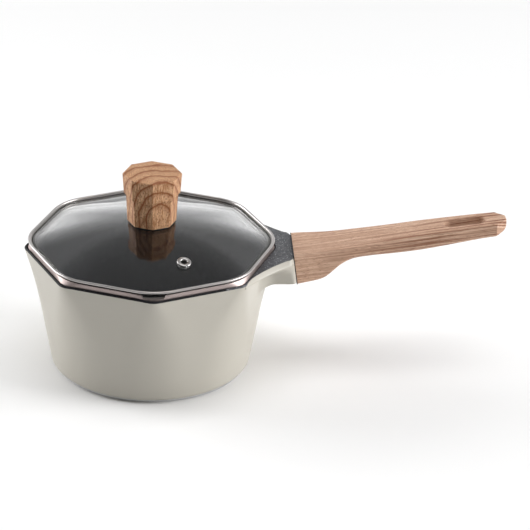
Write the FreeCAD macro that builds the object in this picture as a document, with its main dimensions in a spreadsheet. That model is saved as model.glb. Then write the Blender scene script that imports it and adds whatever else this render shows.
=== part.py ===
import FreeCAD, Part
import math
import os
import Sketcher

# Octagonal saucepan with a strainer-style glass lid.
# Origin: centre of the underside of the base.  +Z up, +X along the handle.
# Every octagon has corners at 0, 45, 90 ... degrees, so one corner faces the handle.

SIZES = [
    # cast pan
    ("pan_height", 98.0, "top of the rim"),
    ("rim_apothem", 92.4, "rim, centre to flat"),
    ("rim_corner", 9.0, "rim corner radius"),
    ("shoulder_height", 78.0, "first wall section under the rim"),
    ("shoulder_apothem", 88.9, ""),
    ("shoulder_corner", 38.0, ""),
    ("waist_height", 60.0, "second wall section"),
    ("waist_apothem", 86.2, ""),
    ("waist_corner", 57.0, ""),
    ("skirt_height", 30.0, "third wall section"),
    ("skirt_apothem", 81.9, ""),
    ("skirt_corner", 68.0, ""),
    ("toe_height", 4.5, "lowest wall section, nearly round"),
    ("toe_apothem", 78.1, ""),
    ("toe_corner", 76.0, ""),
    ("foot_radius", 75.0, "machined foot ring"),
    ("foot_height", 2.4, ""),
    ("foot_round", 0.8, ""),
    # inside of the pan
    ("seat_height", 95.9, "ledge that the lid stands on"),
    ("seat_apothem", 90.5, "wall around the ledge"),
    ("seat_corner", 14.0, ""),
    ("mouth_apothem", 82.8, "inner edge of the ledge"),
    ("mouth_corner", 34.0, ""),
    ("throat_height", 90.0, "foot of the chamfer under the ledge"),
    ("throat_apothem", 81.6, "narrowest place inside"),
    ("throat_corner", 42.0, ""),
    ("inner_waist_height", 60.0, ""),
    ("inner_waist_apothem", 82.6, ""),
    ("inner_waist_corner", 55.0, ""),
    ("inner_toe_height", 14.0, ""),
    ("inner_toe_apothem", 76.8, ""),
    ("inner_toe_corner", 73.5, ""),
    ("floor_thickness", 5.0, "cast floor"),
    ("floor_radius", 75.6, "inside floor before its rounding"),
    ("floor_round", 8.0, ""),
    ("plate_radius", 62.0, "steel induction disc let into the base"),
    ("plate_thickness", 1.5, ""),
    # bridge cast between the wall and the handle
    ("root_x", 109.5, "handle joint at the top surface"),
    ("root_top", 100.0, "height of the handle's top edge at the joint"),
    ("root_tilt", 8.0, "degrees that the handle rises"),
    ("bridge_bottom", 77.0, ""),
    ("bridge_half_width", 24.2, "half width just beyond the joint"),
    ("bridge_flare", 150.0, "plan radius of each flank"),
    ("bridge_wing_x", 70.5, "where a flank meets the rim"),
    ("bridge_wing_y", 70.0, ""),
    ("bridge_wing_low", 95.0, "depth of the wings at the rim corners"),
    ("bridge_gusset_half", 38.0, "half width of the bridge's full depth"),
    ("bridge_inner_x", 84.0, "where the hollow under the bridge meets the wall"),
    ("bridge_chamfer", 3.0, "bevel along the top edges"),
    ("bridge_end_round", 6.5, "upright edges beside the joint"),
    ("bridge_underside_round", 9.0, "hollow where the underside meets the wall"),
    ("bridge_underside_radius", 9.2, ""),
    ("tenon_width", 24.0, "block that stops the handle turning"),
    ("tenon_height", 12.0, ""),
    ("tenon_length", 6.0, ""),
    ("tenon_clearance", 0.25, ""),
    # handle
    ("gasket_thickness", 0.7, "dark pad in the handle joint"),
    ("grip_end", 277.0, ""),
    ("grip_top_round", 1.6, "edge radius along the top"),
    ("grip_end_corner", 8.2, "length and width cut off each end corner"),
    ("hang_slot_start", 229.0, ""),
    ("hang_slot_end", 261.0, ""),
    ("hang_slot_width", 12.0, ""),
    ("bolt_drop", 5.6, "bolt axis below the top surface at the joint"),
    ("bolt_radius", 2.5, "M5"),
    ("bolt_length", 130.0, "under the head"),
    ("bolt_grip", 115.7, "head seat to joint face"),
    ("bolt_clearance", 0.25, ""),
    ("bolt_head_radius", 4.25, ""),
    ("bolt_head_height", 3.3, ""),
    ("bolt_slot_width", 1.2, ""),
    ("bolt_slot_depth", 1.3, ""),
    ("bolt_thread_gap", 0.04, ""),
    ("bolt_hole_depth", 15.0, "tapped hole in the bridge"),
    ("washer_radius", 4.4, ""),
    ("washer_thickness", 1.0, ""),
    ("spring_washer_radius", 4.2, ""),
    ("spring_washer_thickness", 1.2, ""),
    ("spring_washer_gap", 0.8, "cut in the ring"),
    ("counterbore_radius", 4.7, ""),
    # lid
    ("lid_foot_height", 96.2, "underside of the lid band"),
    ("band_foot_apothem", 88.6, ""),
    ("band_foot_corner", 38.4, ""),
    ("band_wall_apothem", 89.9, "upright wall around the glass edge"),
    ("band_wall_corner", 39.9, "corner radius under the bead"),
    ("band_brow_corner", 18.0, "corner radius at the foot of the wall"),
    ("band_brow_height", 97.0, "underside of the step between foot and wall"),
    ("band_sheet", 0.8, "steel thickness"),
    ("band_foot_inner", 83.6, "inner edge of the foot flange"),
    ("bead_apothem", 92.5, ""),
    ("bead_corner", 42.4, ""),
    ("bead_low", 102.9, ""),
    ("bead_top", 105.6, ""),
    ("bead_round", 1.3, ""),
    ("bead_inner_apothem", 88.5, ""),
    ("shelf_inner_apothem", 85.3, "shelf under the glass"),
    ("drain_width", 20.0, "pouring slots in the band, front and back"),
    ("drain_low", 98.1, ""),
    ("drain_high", 102.8, ""),
    ("drain_round", 4.0, ""),
    ("glass_apothem", 88.7, "edge of the glass"),
    ("glass_corner", 38.7, ""),
    ("glass_edge_top", 103.6, ""),
    ("glass_thickness", 3.5, ""),
    ("dome_apothem", 87.2, "foot of the dome"),
    ("dome_top", 120.0, ""),
    ("glass_bore", 4.0, "hole for the knob's screw"),
    ("vent_distance", 62.7, "vent from the middle of the lid"),
    ("vent_angle", -68.0, ""),
    ("vent_tube_radius", 3.3, ""),
    ("vent_hole_radius", 2.4, ""),
    ("vent_flange_radius", 5.5, ""),
    ("vent_flange_height", 1.3, ""),
    ("vent_ring_radius", 4.9, ""),
    ("vent_ring_thickness", 0.8, ""),
    ("vent_clearance", 0.2, ""),
    ("vent_glass_depth", 3.8, "glass along the vent's axis"),
    # knob and its fixings
    ("knob_gasket_thickness", 0.8, ""),
    ("knob_gasket_radius", 17.6, ""),
    ("knob_top", 161.0, ""),
    ("knob_foot_radius", 19.0, "corner radius of the octagon at the foot"),
    ("knob_neck_radius", 20.2, ""),
    ("knob_neck_height", 142.0, ""),
    ("knob_head_radius", 22.0, ""),
    ("knob_head_height", 144.6, ""),
    ("knob_crown_radius", 23.1, ""),
    ("knob_crown_height", 160.0, ""),
    ("knob_top_radius", 22.0, ""),
    ("insert_radius", 4.0, "brass insert"),
    ("insert_length", 14.0, ""),
    ("screw_radius", 2.0, "M4"),
    ("screw_reach", 18.5, "under the head"),
    ("screw_head_radius", 4.0, ""),
    ("screw_head_height", 2.4, ""),
    ("screw_slot_width", 1.0, ""),
    ("screw_slot_depth", 1.1, ""),
    ("screw_gap", 0.05, ""),
    ("seal_radius", 8.0, "silicone bush under the glass"),
    ("seal_thickness", 1.4, ""),
    ("knob_washer_radius", 7.0, ""),
    ("knob_washer_thickness", 1.0, ""),
]

# handle stations: x, width, top and underside heights, edge radius along the underside
GRIP_STATIONS = [
    (106.0, 45.8, 99.2, 75.3, 1.5),
    (116.0, 43.4, 100.5, 75.9, 1.5),
    (126.0, 40.6, 101.5, 77.5, 1.5),
    (136.0, 38.4, 102.5, 80.8, 1.6),
    (147.0, 37.5, 103.7, 90.0, 3.0),
    (158.0, 36.6, 105.4, 95.1, 4.4),
    (180.0, 32.5, 109.2, 97.3, 4.5),
    (210.0, 29.4, 114.3, 100.6, 4.5),
    (240.0, 26.0, 119.0, 105.6, 4.5),
    (277.0, 24.5, 123.3, 111.8, 4.5),
]

doc = FreeCAD.newDocument("saucepan")
sheet = doc.addObject("Spreadsheet::Sheet", "sizes")
subparts = []


# ---------------------------------------------------------------- helpers

def fill_sheet():
    """Write every driving dimension into the spreadsheet under its alias."""
    rows = list(SIZES)
    for index, station in enumerate(GRIP_STATIONS):
        for field, number in zip(("x", "width", "top", "bottom", "low_round"), station):
            rows.append((f"grip_{index}_{field}", number, "handle station"))
    for row, (alias, number, note) in enumerate(rows, start=1):
        sheet.set(f"A{row}", alias)
        sheet.set(f"B{row}", str(number))
        sheet.setAlias(f"B{row}", alias)
        sheet.set(f"C{row}", note)
    doc.recompute()


def value(expression):
    """Number that an expression on the sheet gives, in mm or degrees."""
    result = sheet.evalExpression(str(expression))
    return float(getattr(result, "Value", result))


def bind(obj, **expressions):
    for prop, expression in expressions.items():
        obj.setExpression(prop, str(expression))
    return obj


def lift(obj, height):
    obj.setExpression(".Placement.Base.z", str(height))
    return obj


def octagon(name, apothem, corner, height):
    """Closed octagon outline with rounded corners, lying at a height."""
    core = doc.addObject("Part::RegularPolygon", name + "_core")
    core.Polygon = 8
    bind(core, Circumradius=f"(({apothem}) - ({corner})) / cos(22.5)")
    lift(core, height)
    outline = doc.addObject("Part::Offset2D", name)
    outline.Source = core
    return bind(outline, Value=corner)


def sharp_octagon(name, radius, height):
    """Closed octagon outline with sharp corners at a radius."""
    outline = doc.addObject("Part::RegularPolygon", name)
    outline.Polygon = 8
    return lift(bind(outline, Circumradius=radius), height)


def loft(name, outlines, ruled=False):
    solid = doc.addObject("Part::Loft", name)
    solid.Sections = outlines
    solid.Solid = True
    solid.Ruled = ruled
    return solid


def prism(name, outline, height):
    """Straight solid that stands on an outline."""
    solid = doc.addObject("Part::Extrusion", name)
    solid.Base = outline
    solid.DirMode = "Custom"
    solid.Dir = FreeCAD.Vector(0, 0, 1)
    solid.Solid = True
    return bind(solid, LengthFwd=height)


def cylinder(name, radius, height, bottom="0"):
    solid = doc.addObject("Part::Cylinder", name)
    bind(solid, Radius=radius, Height=height)
    return lift(solid, bottom)


def placed_cylinder(name, radius, height, placement):
    """Cylinder in a tilted frame, along that frame's Z axis."""
    solid = doc.addObject("Part::Cylinder", name)
    bind(solid, Radius=radius, Height=height)
    solid.Placement = placement
    return solid


def box(name, length, width, height):
    solid = doc.addObject("Part::Box", name)
    return bind(solid, Length=length, Width=width, Height=height)


def fuse(name, shapes):
    solid = doc.addObject("Part::MultiFuse", name)
    solid.Shapes = shapes
    return solid


def cut(name, base, tool):
    solid = doc.addObject("Part::Cut", name)
    solid.Base = base
    solid.Tool = tool
    return solid


def common(name, first, second):
    solid = doc.addObject("Part::MultiCommon", name)
    solid.Shapes = [first, second]
    return solid


def rounded(name, base, picks, radius):
    """Fillet on the edges that a test picks out."""
    doc.recompute()
    solid = doc.addObject("Part::Fillet", name)
    solid.Base = base
    chosen = [i for i, edge in enumerate(base.Shape.Edges, start=1) if picks(edge)]
    solid.Edges = [(i, value(radius), value(radius)) for i in chosen]
    return solid


def body(name):
    return doc.addObject("PartDesign::Body", name)


def plane(owner, role):
    return next(f for f in owner.Origin.OriginFeatures if f.Role == role)


def name_size(sketch, name, expression, *constraint):
    """Add a dimension to a sketch and bind it to an expression."""
    index = sketch.addConstraint(Sketcher.Constraint(*constraint))
    sketch.renameConstraint(index, name)
    sketch.setExpression(f"Constraints.{name}", str(expression))


def pin(sketch, edge, end, number, vertex):
    """Tie one end of an edge to a place given by two expressions."""
    for kind, axis, expression in zip(("DistanceX", "DistanceY"), (-2, -1), vertex):
        if abs(value(expression)) < 1e-9:
            sketch.addConstraint(Sketcher.Constraint("PointOnObject", edge, end, axis))
        else:
            name_size(sketch, f"{kind}_{number}", expression, kind, -1, 1, edge, end, value(expression))


def arc_through(start, end, radius):
    """Arc between two points; it bows to the left of the way there if radius is positive."""
    chord = end - start
    left = FreeCAD.Vector(-chord.y, chord.x, 0).normalize()
    sagitta = abs(radius) - math.sqrt(radius ** 2 - (chord.Length / 2) ** 2)
    return Part.Arc(start, (start + end) * 0.5 + left * math.copysign(sagitta, radius), end)


def outline_sketch(owner, name, role, vertices, arcs=None):
    """Closed outline through named vertices; arcs maps an edge's number to its signed radius."""
    arcs = arcs or {}
    sketch = owner.newObject("Sketcher::SketchObject", name)
    sketch.AttachmentSupport = (plane(owner, role), [""])
    sketch.MapMode = "FlatFace"
    points = [FreeCAD.Vector(value(x), value(y), 0) for x, y in vertices]
    count = len(points)
    ends = []
    for i, start in enumerate(points):
        finish = points[(i + 1) % count]
        radius = value(arcs[i]) if i in arcs else None
        edge = arc_through(start, finish, radius) if radius else Part.LineSegment(start, finish)
        sketch.addGeometry(edge, False)
        same_way = sketch.getPoint(i, 1).distanceToPoint(start) < 1e-6
        ends.append((1, 2) if same_way else (2, 1))
    for i in range(count):
        after = (i + 1) % count
        sketch.addConstraint(Sketcher.Constraint("Coincident", i, ends[i][1], after, ends[after][0]))
    for i, vertex in enumerate(vertices):
        pin(sketch, i, ends[i][0], i, vertex)
    for i, radius in arcs.items():
        name_size(sketch, f"Radius_{i}", f"abs({radius})", "Radius", i, abs(value(radius)))
    return sketch


def turned(name, profile):
    """Body of revolution about its own Z axis, from a profile of (radius, height) pairs."""
    owner = body(name)
    sketch = outline_sketch(owner, name + "_profile", "XZ_Plane", profile)
    spin = owner.newObject("PartDesign::Revolution", name + "_spin")
    spin.Profile = sketch
    spin.ReferenceAxis = (sketch, ["V_Axis"])
    spin.Angle = 360
    return owner


def subpart(obj, node):
    obj.Label = node
    subparts.append(obj)
    return obj


def handle_frame(along=0.0, across=0.0, up=0.0):
    """Placement whose X axis is the handle's axis, on the joint's face at the bolt."""
    tilt = math.radians(value("sizes.root_tilt"))
    drop = value("sizes.bolt_drop")
    rotation = FreeCAD.Rotation(FreeCAD.Vector(0, 1, 0), -math.degrees(tilt))
    top = FreeCAD.Vector(value("sizes.root_x"), 0, value("sizes.root_top"))
    start = top - rotation.multVec(FreeCAD.Vector(0, 0, drop))
    return FreeCAD.Placement(start + rotation.multVec(FreeCAD.Vector(along, across, up)), rotation)


def along_handle(obj, along, across=0.0, up=0.0):
    obj.Placement = handle_frame(along, across, up)
    return obj


LYING = FreeCAD.Placement(FreeCAD.Vector(), FreeCAD.Rotation(0, 90, 0))


def bolt_cylinder(name, radius, length, along):
    """Cylinder on the handle bolt's axis, from a distance along the handle."""
    return placed_cylinder(name, radius, length, handle_frame(along).multiply(LYING))


# ---------------------------------------------------------------- cast pan

def bridge_blank():
    """Flared arm between two rim corners and the handle joint, level with the rim and bevelled."""
    owner = body("bridge_blank")
    side = "sizes.bridge_half_width"
    wing = ("sizes.bridge_wing_x", "sizes.bridge_wing_y")
    overlap = "sizes.root_x + 4"
    plan = outline_sketch(
        owner, "bridge_plan", "XY_Plane",
        [(overlap, f"-{side}"), (overlap, side), wing, (wing[0], f"-{wing[1]}")],
        {1: "sizes.bridge_flare", 3: "sizes.bridge_flare"})
    pad = owner.newObject("PartDesign::Pad", "bridge_pad")
    pad.Profile = plan
    bind(pad, Length="sizes.pan_height")
    doc.recompute()
    top = value("sizes.pan_height")
    half = value(side)

    def along_top(edge):
        box_of = edge.BoundBox
        outside = box_of.YMin >= half - 0.1 or box_of.YMax <= -half + 0.1
        return box_of.ZMin > top - 0.1 and outside and box_of.XMin > value(wing[0]) - 0.1 and box_of.XLength > 1

    bevel = owner.newObject("PartDesign::Chamfer", "bridge_bevel")
    names = [f"Edge{i}" for i, e in enumerate(pad.Shape.Edges, start=1) if along_top(e)]
    bevel.Base = (pad, names)
    bind(bevel, Size="sizes.bridge_chamfer")
    owner.Tip = bevel
    return owner


def bridge_side():
    """Side view of the bridge: level top, flat underside, round hollow at the wall and tilted joint."""
    owner = body("bridge_side")
    joint = "sizes.root_x + (sizes.root_top - {}) * tan(sizes.root_tilt)"
    hollow = "sizes.bridge_underside_round"
    wall_x = "sizes.bridge_inner_x"
    profile = outline_sketch(
        owner, "bridge_profile", "XZ_Plane",
        [(joint.format("sizes.pan_height"), "sizes.pan_height"),
         ("sizes.bridge_wing_x - 1", "sizes.pan_height"),
         ("sizes.bridge_wing_x - 1", f"sizes.bridge_bottom - {hollow}"),
         (wall_x, f"sizes.bridge_bottom - {hollow}"),
         (f"{wall_x} + {hollow}", "sizes.bridge_bottom"),
         (joint.format("sizes.bridge_bottom"), "sizes.bridge_bottom")],
        {3: "sizes.bridge_underside_radius"})
    pad = owner.newObject("PartDesign::Pad", "bridge_width")
    pad.Profile = profile
    pad.Midplane = True
    bind(pad, Length="2 * sizes.bridge_wing_y + 4")
    return owner


def bridge_gusset():
    """End view of the bridge: full depth in the middle, rising to the rim at the wings."""
    owner = body("bridge_gusset")
    deep, shallow = "sizes.bridge_gusset_half", "sizes.bridge_wing_y + 1"
    low = "sizes.bridge_bottom - sizes.bridge_underside_round - 1"
    profile = outline_sketch(
        owner, "gusset_profile", "YZ_Plane",
        [(shallow, "sizes.root_top + 1"), (f"-({shallow})", "sizes.root_top + 1"),
         (f"-({shallow})", "sizes.bridge_wing_low"), (f"-{deep}", "sizes.bridge_bottom - 1"), (f"-{deep}", low),
         (deep, low), (deep, "sizes.bridge_bottom - 1"), (shallow, "sizes.bridge_wing_low")])
    pad = owner.newObject("PartDesign::Pad", "gusset_pad")
    pad.Profile = profile
    bind(pad, Length="sizes.root_x + 10")
    return owner


def beside_joint(edge):
    """True for the two upright edges where the bridge's sides meet the handle joint."""
    joint = handle_frame().inverse()
    in_joint = all(abs(joint.multVec(corner.Point).x) < 0.01 for corner in edge.Vertexes)
    return in_joint and edge.BoundBox.ZLength > 2 * value("sizes.bridge_chamfer")


def pan_outside():
    walls = [octagon(f"outer_{place}", f"sizes.{place}_apothem", f"sizes.{place}_corner", height)
             for place, height in (("toe", "sizes.toe_height"), ("skirt", "sizes.skirt_height"),
                                   ("waist", "sizes.waist_height"), ("shoulder", "sizes.shoulder_height"),
                                   ("rim", "sizes.pan_height"))]
    shell = loft("outer_wall", walls)
    foot = cylinder("foot_blank", "sizes.foot_radius", "sizes.foot_height + 0.2")
    foot = rounded("foot", foot, lambda e: e.BoundBox.ZMax < 0.1 and e.Length > 100, "sizes.foot_round")
    heel = doc.addObject("Part::Cone", "heel")
    lift(heel, "sizes.foot_height")
    bind(heel, Radius1="sizes.toe_apothem - 2", Radius2="sizes.toe_apothem",
         Height="sizes.toe_height - sizes.foot_height")
    form = common("bridge_form", bridge_blank(), bridge_side())
    bridge = common("bridge_sharp", form, bridge_gusset())
    bridge = rounded("bridge", bridge, beside_joint, "sizes.bridge_end_round")
    return fuse("pan_outside", [shell, foot, heel, bridge])


def pan_inside():
    """Everything taken out of the casting: bowl, lid ledge, base recess and bolt hole."""
    levels = [octagon(f"inside_{place}", f"sizes.{place}_apothem", f"sizes.{place}_corner", height)
              for place, height in (("inner_toe", "sizes.inner_toe_height"),
                                    ("inner_waist", "sizes.inner_waist_height"),
                                    ("throat", "sizes.throat_height"))]
    bowl = loft("bowl", levels)
    throat = octagon("throat_edge", "sizes.throat_apothem", "sizes.throat_corner", "sizes.throat_height")
    mouth = octagon("mouth_edge", "sizes.mouth_apothem", "sizes.mouth_corner", "sizes.seat_height + 0.1")
    chamfer = loft("throat_chamfer", [throat, mouth], ruled=True)
    seat = octagon("seat_edge", "sizes.seat_apothem", "sizes.seat_corner", "sizes.seat_height")
    seat = prism("lid_ledge", seat, "sizes.root_top - sizes.seat_height + 5")
    floor = doc.addObject("Part::Cone", "floor_blank")
    lift(floor, "sizes.floor_thickness")
    bind(floor, Radius1="sizes.floor_radius", Radius2="sizes.inner_toe_apothem",
         Height="sizes.inner_toe_height - sizes.floor_thickness")
    low = value("sizes.floor_thickness") + 0.1
    floor = rounded("floor", floor, lambda e: e.BoundBox.ZMax < low and e.Length > 100, "sizes.floor_round")
    recess = cylinder("plate_recess", "sizes.plate_radius", "sizes.plate_thickness")
    tapped = bolt_cylinder("tapped_hole", "sizes.bolt_radius + sizes.bolt_thread_gap",
                           "sizes.bolt_hole_depth + sizes.tenon_length + 1",
                           -value("sizes.bolt_hole_depth"))
    return fuse("pan_inside", [bowl, chamfer, seat, floor, recess, tapped])


def tenon(name, clearance):
    """Block on the joint's face, or the socket for it when it has clearance."""
    block = box(name, f"sizes.tenon_length + 1 + {clearance}", f"sizes.tenon_width + 2 * {clearance}",
                f"sizes.tenon_height + 2 * {clearance}")
    gap = value(clearance)
    return along_handle(block, -1.0, -value("sizes.tenon_width") / 2 - gap,
                        -value("sizes.tenon_height") / 2 - 2.0 - gap)


def make_pan():
    solid = fuse("pan_solid", [pan_outside(), tenon("pan_tenon", "0")])
    return cut("pan", solid, pan_inside())


# ---------------------------------------------------------------- handle

def grip_section(index):
    """Rounded rectangle across the handle at one station."""
    fields = ("width", "top", "bottom", "low_round")
    width, top, bottom, softness = (f"sizes.grip_{index}_{field}" for field in fields)
    sketch = doc.addObject("Sketcher::SketchObject", f"grip_section_{index}")
    across_and_up = FreeCAD.Rotation(FreeCAD.Vector(1, 1, 1), 120)
    sketch.Placement = FreeCAD.Placement(FreeCAD.Vector(), across_and_up)
    sketch.setExpression(".Placement.Base.x", f"sizes.grip_{index}_x")
    half, high, low = value(width) / 2, value(top), value(bottom)
    top_round, low_round = value("sizes.grip_top_round"), value(softness)
    corners = [(half - top_round, high - top_round, top_round),
               (top_round - half, high - top_round, top_round),
               (low_round - half, low + low_round, low_round),
               (half - low_round, low + low_round, low_round)]
    upright = FreeCAD.Vector(0, 0, 1)
    ends = []
    for quarter, (across, up, radius) in enumerate(corners):
        circle = Part.Circle(FreeCAD.Vector(across, up, 0), upright, radius)
        arc = Part.ArcOfCircle(circle, quarter * math.pi / 2, (quarter + 1) * math.pi / 2)
        ends.append((arc.StartPoint, arc.EndPoint))
        sketch.addGeometry(arc, False)
    for i in range(4):
        sketch.addGeometry(Part.LineSegment(ends[i][1], ends[(i + 1) % 4][0]), False)
    for i, direction in enumerate((None, "Vertical", "Horizontal", "Vertical")):
        line = 4 + i
        sketch.addConstraint(Sketcher.Constraint("Tangent", i, 2, line, 1))
        sketch.addConstraint(Sketcher.Constraint("Tangent", line, 2, (i + 1) % 4, 1))
        if direction:
            sketch.addConstraint(Sketcher.Constraint(direction, line))
    sketch.addConstraint(Sketcher.Constraint("Equal", 0, 1))
    sketch.addConstraint(Sketcher.Constraint("Equal", 2, 3))
    sketch.addConstraint(Sketcher.Constraint("Symmetric", 4, 1, 4, 2, -2))
    name_size(sketch, "top_round", "sizes.grip_top_round", "Radius", 0, top_round)
    name_size(sketch, "low_round", softness, "Radius", 2, low_round)
    name_size(sketch, "top", top, "DistanceY", -1, 1, 4, 1, high)
    name_size(sketch, "bottom", bottom, "DistanceY", -1, 1, 6, 1, low)
    name_size(sketch, "half_width", f"{width} / 2", "DistanceX", -1, 1, 7, 1, half)
    return sketch


def end_mask():
    """Plan outline that takes the corners off the handle's end."""
    owner = body("end_mask")
    last = len(GRIP_STATIONS) - 1
    nose = f"(sizes.grip_{last}_width / 2 - sizes.grip_end_corner)"
    wide = "sizes.grip_0_width"
    shoulder = f"sizes.grip_end - {wide} + {nose}"
    plan = outline_sketch(
        owner, "end_plan", "XY_Plane",
        [("sizes.grip_0_x", f"-{wide}"), (shoulder, f"-{wide}"), ("sizes.grip_end", f"-{nose}"),
         ("sizes.grip_end", nose), (shoulder, wide), ("sizes.grip_0_x", wide)])
    pad = owner.newObject("PartDesign::Pad", "end_pad")
    pad.Profile = plan
    bind(pad, Length="2 * sizes.root_top")
    return owner


def grip_blank():
    """Tapering handle, lofted through its stations, with both end corners cut off."""
    form = loft("grip_form", [grip_section(i) for i in range(len(GRIP_STATIONS))])
    form.MaxDegree = 3
    return common("grip_blank", form, end_mask())


def hanging_slot():
    """Slot through the handle's end, with round ends."""
    radius = "sizes.hang_slot_width / 2"
    middle = box("slot_middle", "sizes.hang_slot_end - sizes.hang_slot_start - sizes.hang_slot_width",
                 "sizes.hang_slot_width", "60")
    bind(lift(middle, "90"), **{".Placement.Base.x": f"sizes.hang_slot_start + {radius}",
                                ".Placement.Base.y": f"-{radius}"})
    inner = cylinder("slot_inner_end", radius, "60", "90")
    outer = cylinder("slot_outer_end", radius, "60", "90")
    bind(inner, **{".Placement.Base.x": f"sizes.hang_slot_start + {radius}"})
    bind(outer, **{".Placement.Base.x": f"sizes.hang_slot_end - {radius}"})
    return fuse("hanging_slot", [middle, inner, outer])


SLAB = 200.0


def handle_slab(name, start, length):
    """Big block square to the handle's axis, for cutting the joint's faces."""
    slab = box(name, length, SLAB, SLAB)
    return along_handle(slab, value(start), -SLAB / 2, -SLAB / 2)


def make_grip_and_gasket():
    blank = grip_blank()
    ahead = handle_slab("ahead_of_joint", "sizes.gasket_thickness", "sizes.grip_end")
    layer = handle_slab("gasket_layer", "0", "sizes.gasket_thickness")
    socket = tenon("tenon_socket", "sizes.tenon_clearance")
    bore = bolt_cylinder("bolt_bore", "sizes.bolt_radius + sizes.bolt_clearance", "sizes.bolt_grip + 20", -2.0)
    head_room = bolt_cylinder("bolt_head_room", "sizes.counterbore_radius", "30",
                              value("sizes.bolt_grip"))
    hollows = fuse("grip_hollows", [hanging_slot(), socket, bore, head_room])
    grip = cut("grip", common("grip_length", blank, ahead), hollows)
    bridge_outline = common("gasket_outline", blank, layer)
    holes = fuse("gasket_holes", [
        tenon("gasket_window", "sizes.tenon_clearance"),
        bolt_cylinder("gasket_bolt_hole", "sizes.bolt_radius + sizes.bolt_clearance", "10", -2.0)])
    gasket = cut("gasket", bridge_outline, holes)
    return grip, gasket


def make_bolt():
    """Slotted cheese-head bolt; the head seats on its washers and the thread ends in the bridge."""
    bolt = turned("bolt", [
        ("0", "sizes.bolt_head_height"), ("0", "-sizes.bolt_length"),
        ("sizes.bolt_radius - 0.6", "-sizes.bolt_length"),
        ("sizes.bolt_radius", "0.6 - sizes.bolt_length"), ("sizes.bolt_radius", "0"),
        ("sizes.bolt_head_radius", "0"), ("sizes.bolt_head_radius", "sizes.bolt_head_height - 0.5"),
        ("sizes.bolt_head_radius - 0.5", "sizes.bolt_head_height")])
    slot = box("bolt_slot", "2 * sizes.bolt_head_radius + 2", "sizes.bolt_slot_width",
               "sizes.bolt_slot_depth + 1")
    lift(slot, "sizes.bolt_head_height - sizes.bolt_slot_depth")
    bind(slot, **{".Placement.Base.x": "-sizes.bolt_head_radius - 1",
                  ".Placement.Base.y": "-sizes.bolt_slot_width / 2"})
    bolt = cut("bolt_cut", bolt, slot)
    seat = value("sizes.bolt_grip + sizes.washer_thickness + sizes.spring_washer_thickness")
    bolt.Placement = handle_frame(seat).multiply(LYING)
    return bolt


def make_bolt_washers():
    gap = "sizes.bolt_radius + sizes.bolt_clearance"
    start = value("sizes.bolt_grip")
    flat = cut("flat_washer",
               bolt_cylinder("flat_disc", "sizes.washer_radius", "sizes.washer_thickness", start),
               bolt_cylinder("flat_hole", gap, "10", start - 2))
    start += value("sizes.washer_thickness")
    ring = bolt_cylinder("spring_disc", "sizes.spring_washer_radius", "sizes.spring_washer_thickness", start)
    hole = bolt_cylinder("spring_hole", gap, "10", start - 2)
    split = along_handle(box("spring_split", "10", "sizes.spring_washer_gap", "10"), start - 2,
                         -value("sizes.spring_washer_gap") / 2)
    spring = cut("spring_washer", ring, fuse("spring_cuts", [hole, split]))
    return flat, spring


# ---------------------------------------------------------------- lid

DOME_SHARES = (1.0, 0.88, 0.7, 0.48, 0.2)


def dome(name, top, foot_apothem, foot):
    """Shallow dome with a flat crown: an octagon at its foot and almost round at its top."""
    crown = DOME_SHARES[-1]
    outlines = []
    for index, share in enumerate(DOME_SHARES):
        apothem = f"({foot_apothem}) * {share}"
        roundness = (1 - share) / (1 - crown)
        corner = (f"{apothem} * ({0.97 * roundness:.4f}"
                  f" + {1 - roundness:.4f} * sizes.glass_corner / sizes.glass_apothem)")
        fall = (share ** 2 - crown ** 2) / (1 - crown ** 2)
        height = f"({top}) - (({top}) - ({foot})) * {fall:.5f}"
        outlines.append(octagon(f"{name}_{index}", apothem, corner, height))
    return loft(name, outlines)


def vent_placement():
    """Frame on the glass at the vent, with Z square to the dome."""
    distance, angle = value("sizes.vent_distance"), math.radians(value("sizes.vent_angle"))
    crown = DOME_SHARES[-1]
    share = distance / value("sizes.dome_apothem")
    rise = value("sizes.dome_top - sizes.glass_edge_top") / (1 - crown ** 2)
    height = value("sizes.dome_top") - rise * (share ** 2 - crown ** 2)
    slope = math.degrees(math.atan(2 * rise * share / value("sizes.dome_apothem")))
    outward = FreeCAD.Vector(math.cos(angle), math.sin(angle), 0)
    sideways = FreeCAD.Vector(-outward.y, outward.x, 0)
    return FreeCAD.Placement(outward * distance + FreeCAD.Vector(0, 0, height),
                             FreeCAD.Rotation(sideways, slope))


def make_glass():
    edge_low = "sizes.glass_edge_top - sizes.glass_thickness"
    edge = prism("glass_edge", octagon("glass_outline", "sizes.glass_apothem", "sizes.glass_corner", edge_low),
                 "sizes.glass_thickness")
    upper = dome("glass_upper", "sizes.dome_top", "sizes.dome_apothem", "sizes.glass_edge_top")
    lower = dome("glass_lower", "sizes.dome_top - sizes.glass_thickness",
                 "sizes.dome_apothem - 2", f"{edge_low}")
    lower_foot = prism("glass_lower_foot", octagon(
        "glass_lower_outline", "sizes.dome_apothem - 2",
        "(sizes.dome_apothem - 2) * sizes.glass_corner / sizes.glass_apothem", f"{edge_low} - 2"), "2")
    bore = cylinder("knob_screw_hole", "sizes.glass_bore", "40", "sizes.glass_edge_top")
    below = FreeCAD.Placement(FreeCAD.Vector(0, 0, -20), FreeCAD.Rotation())
    vent = placed_cylinder("vent_hole", "sizes.vent_tube_radius + sizes.vent_clearance", "40",
                           vent_placement().multiply(below))
    hollows = fuse("glass_hollows", [lower, lower_foot, bore, vent])
    return cut("glass", fuse("glass_solid", [edge, upper]), hollows)


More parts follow.
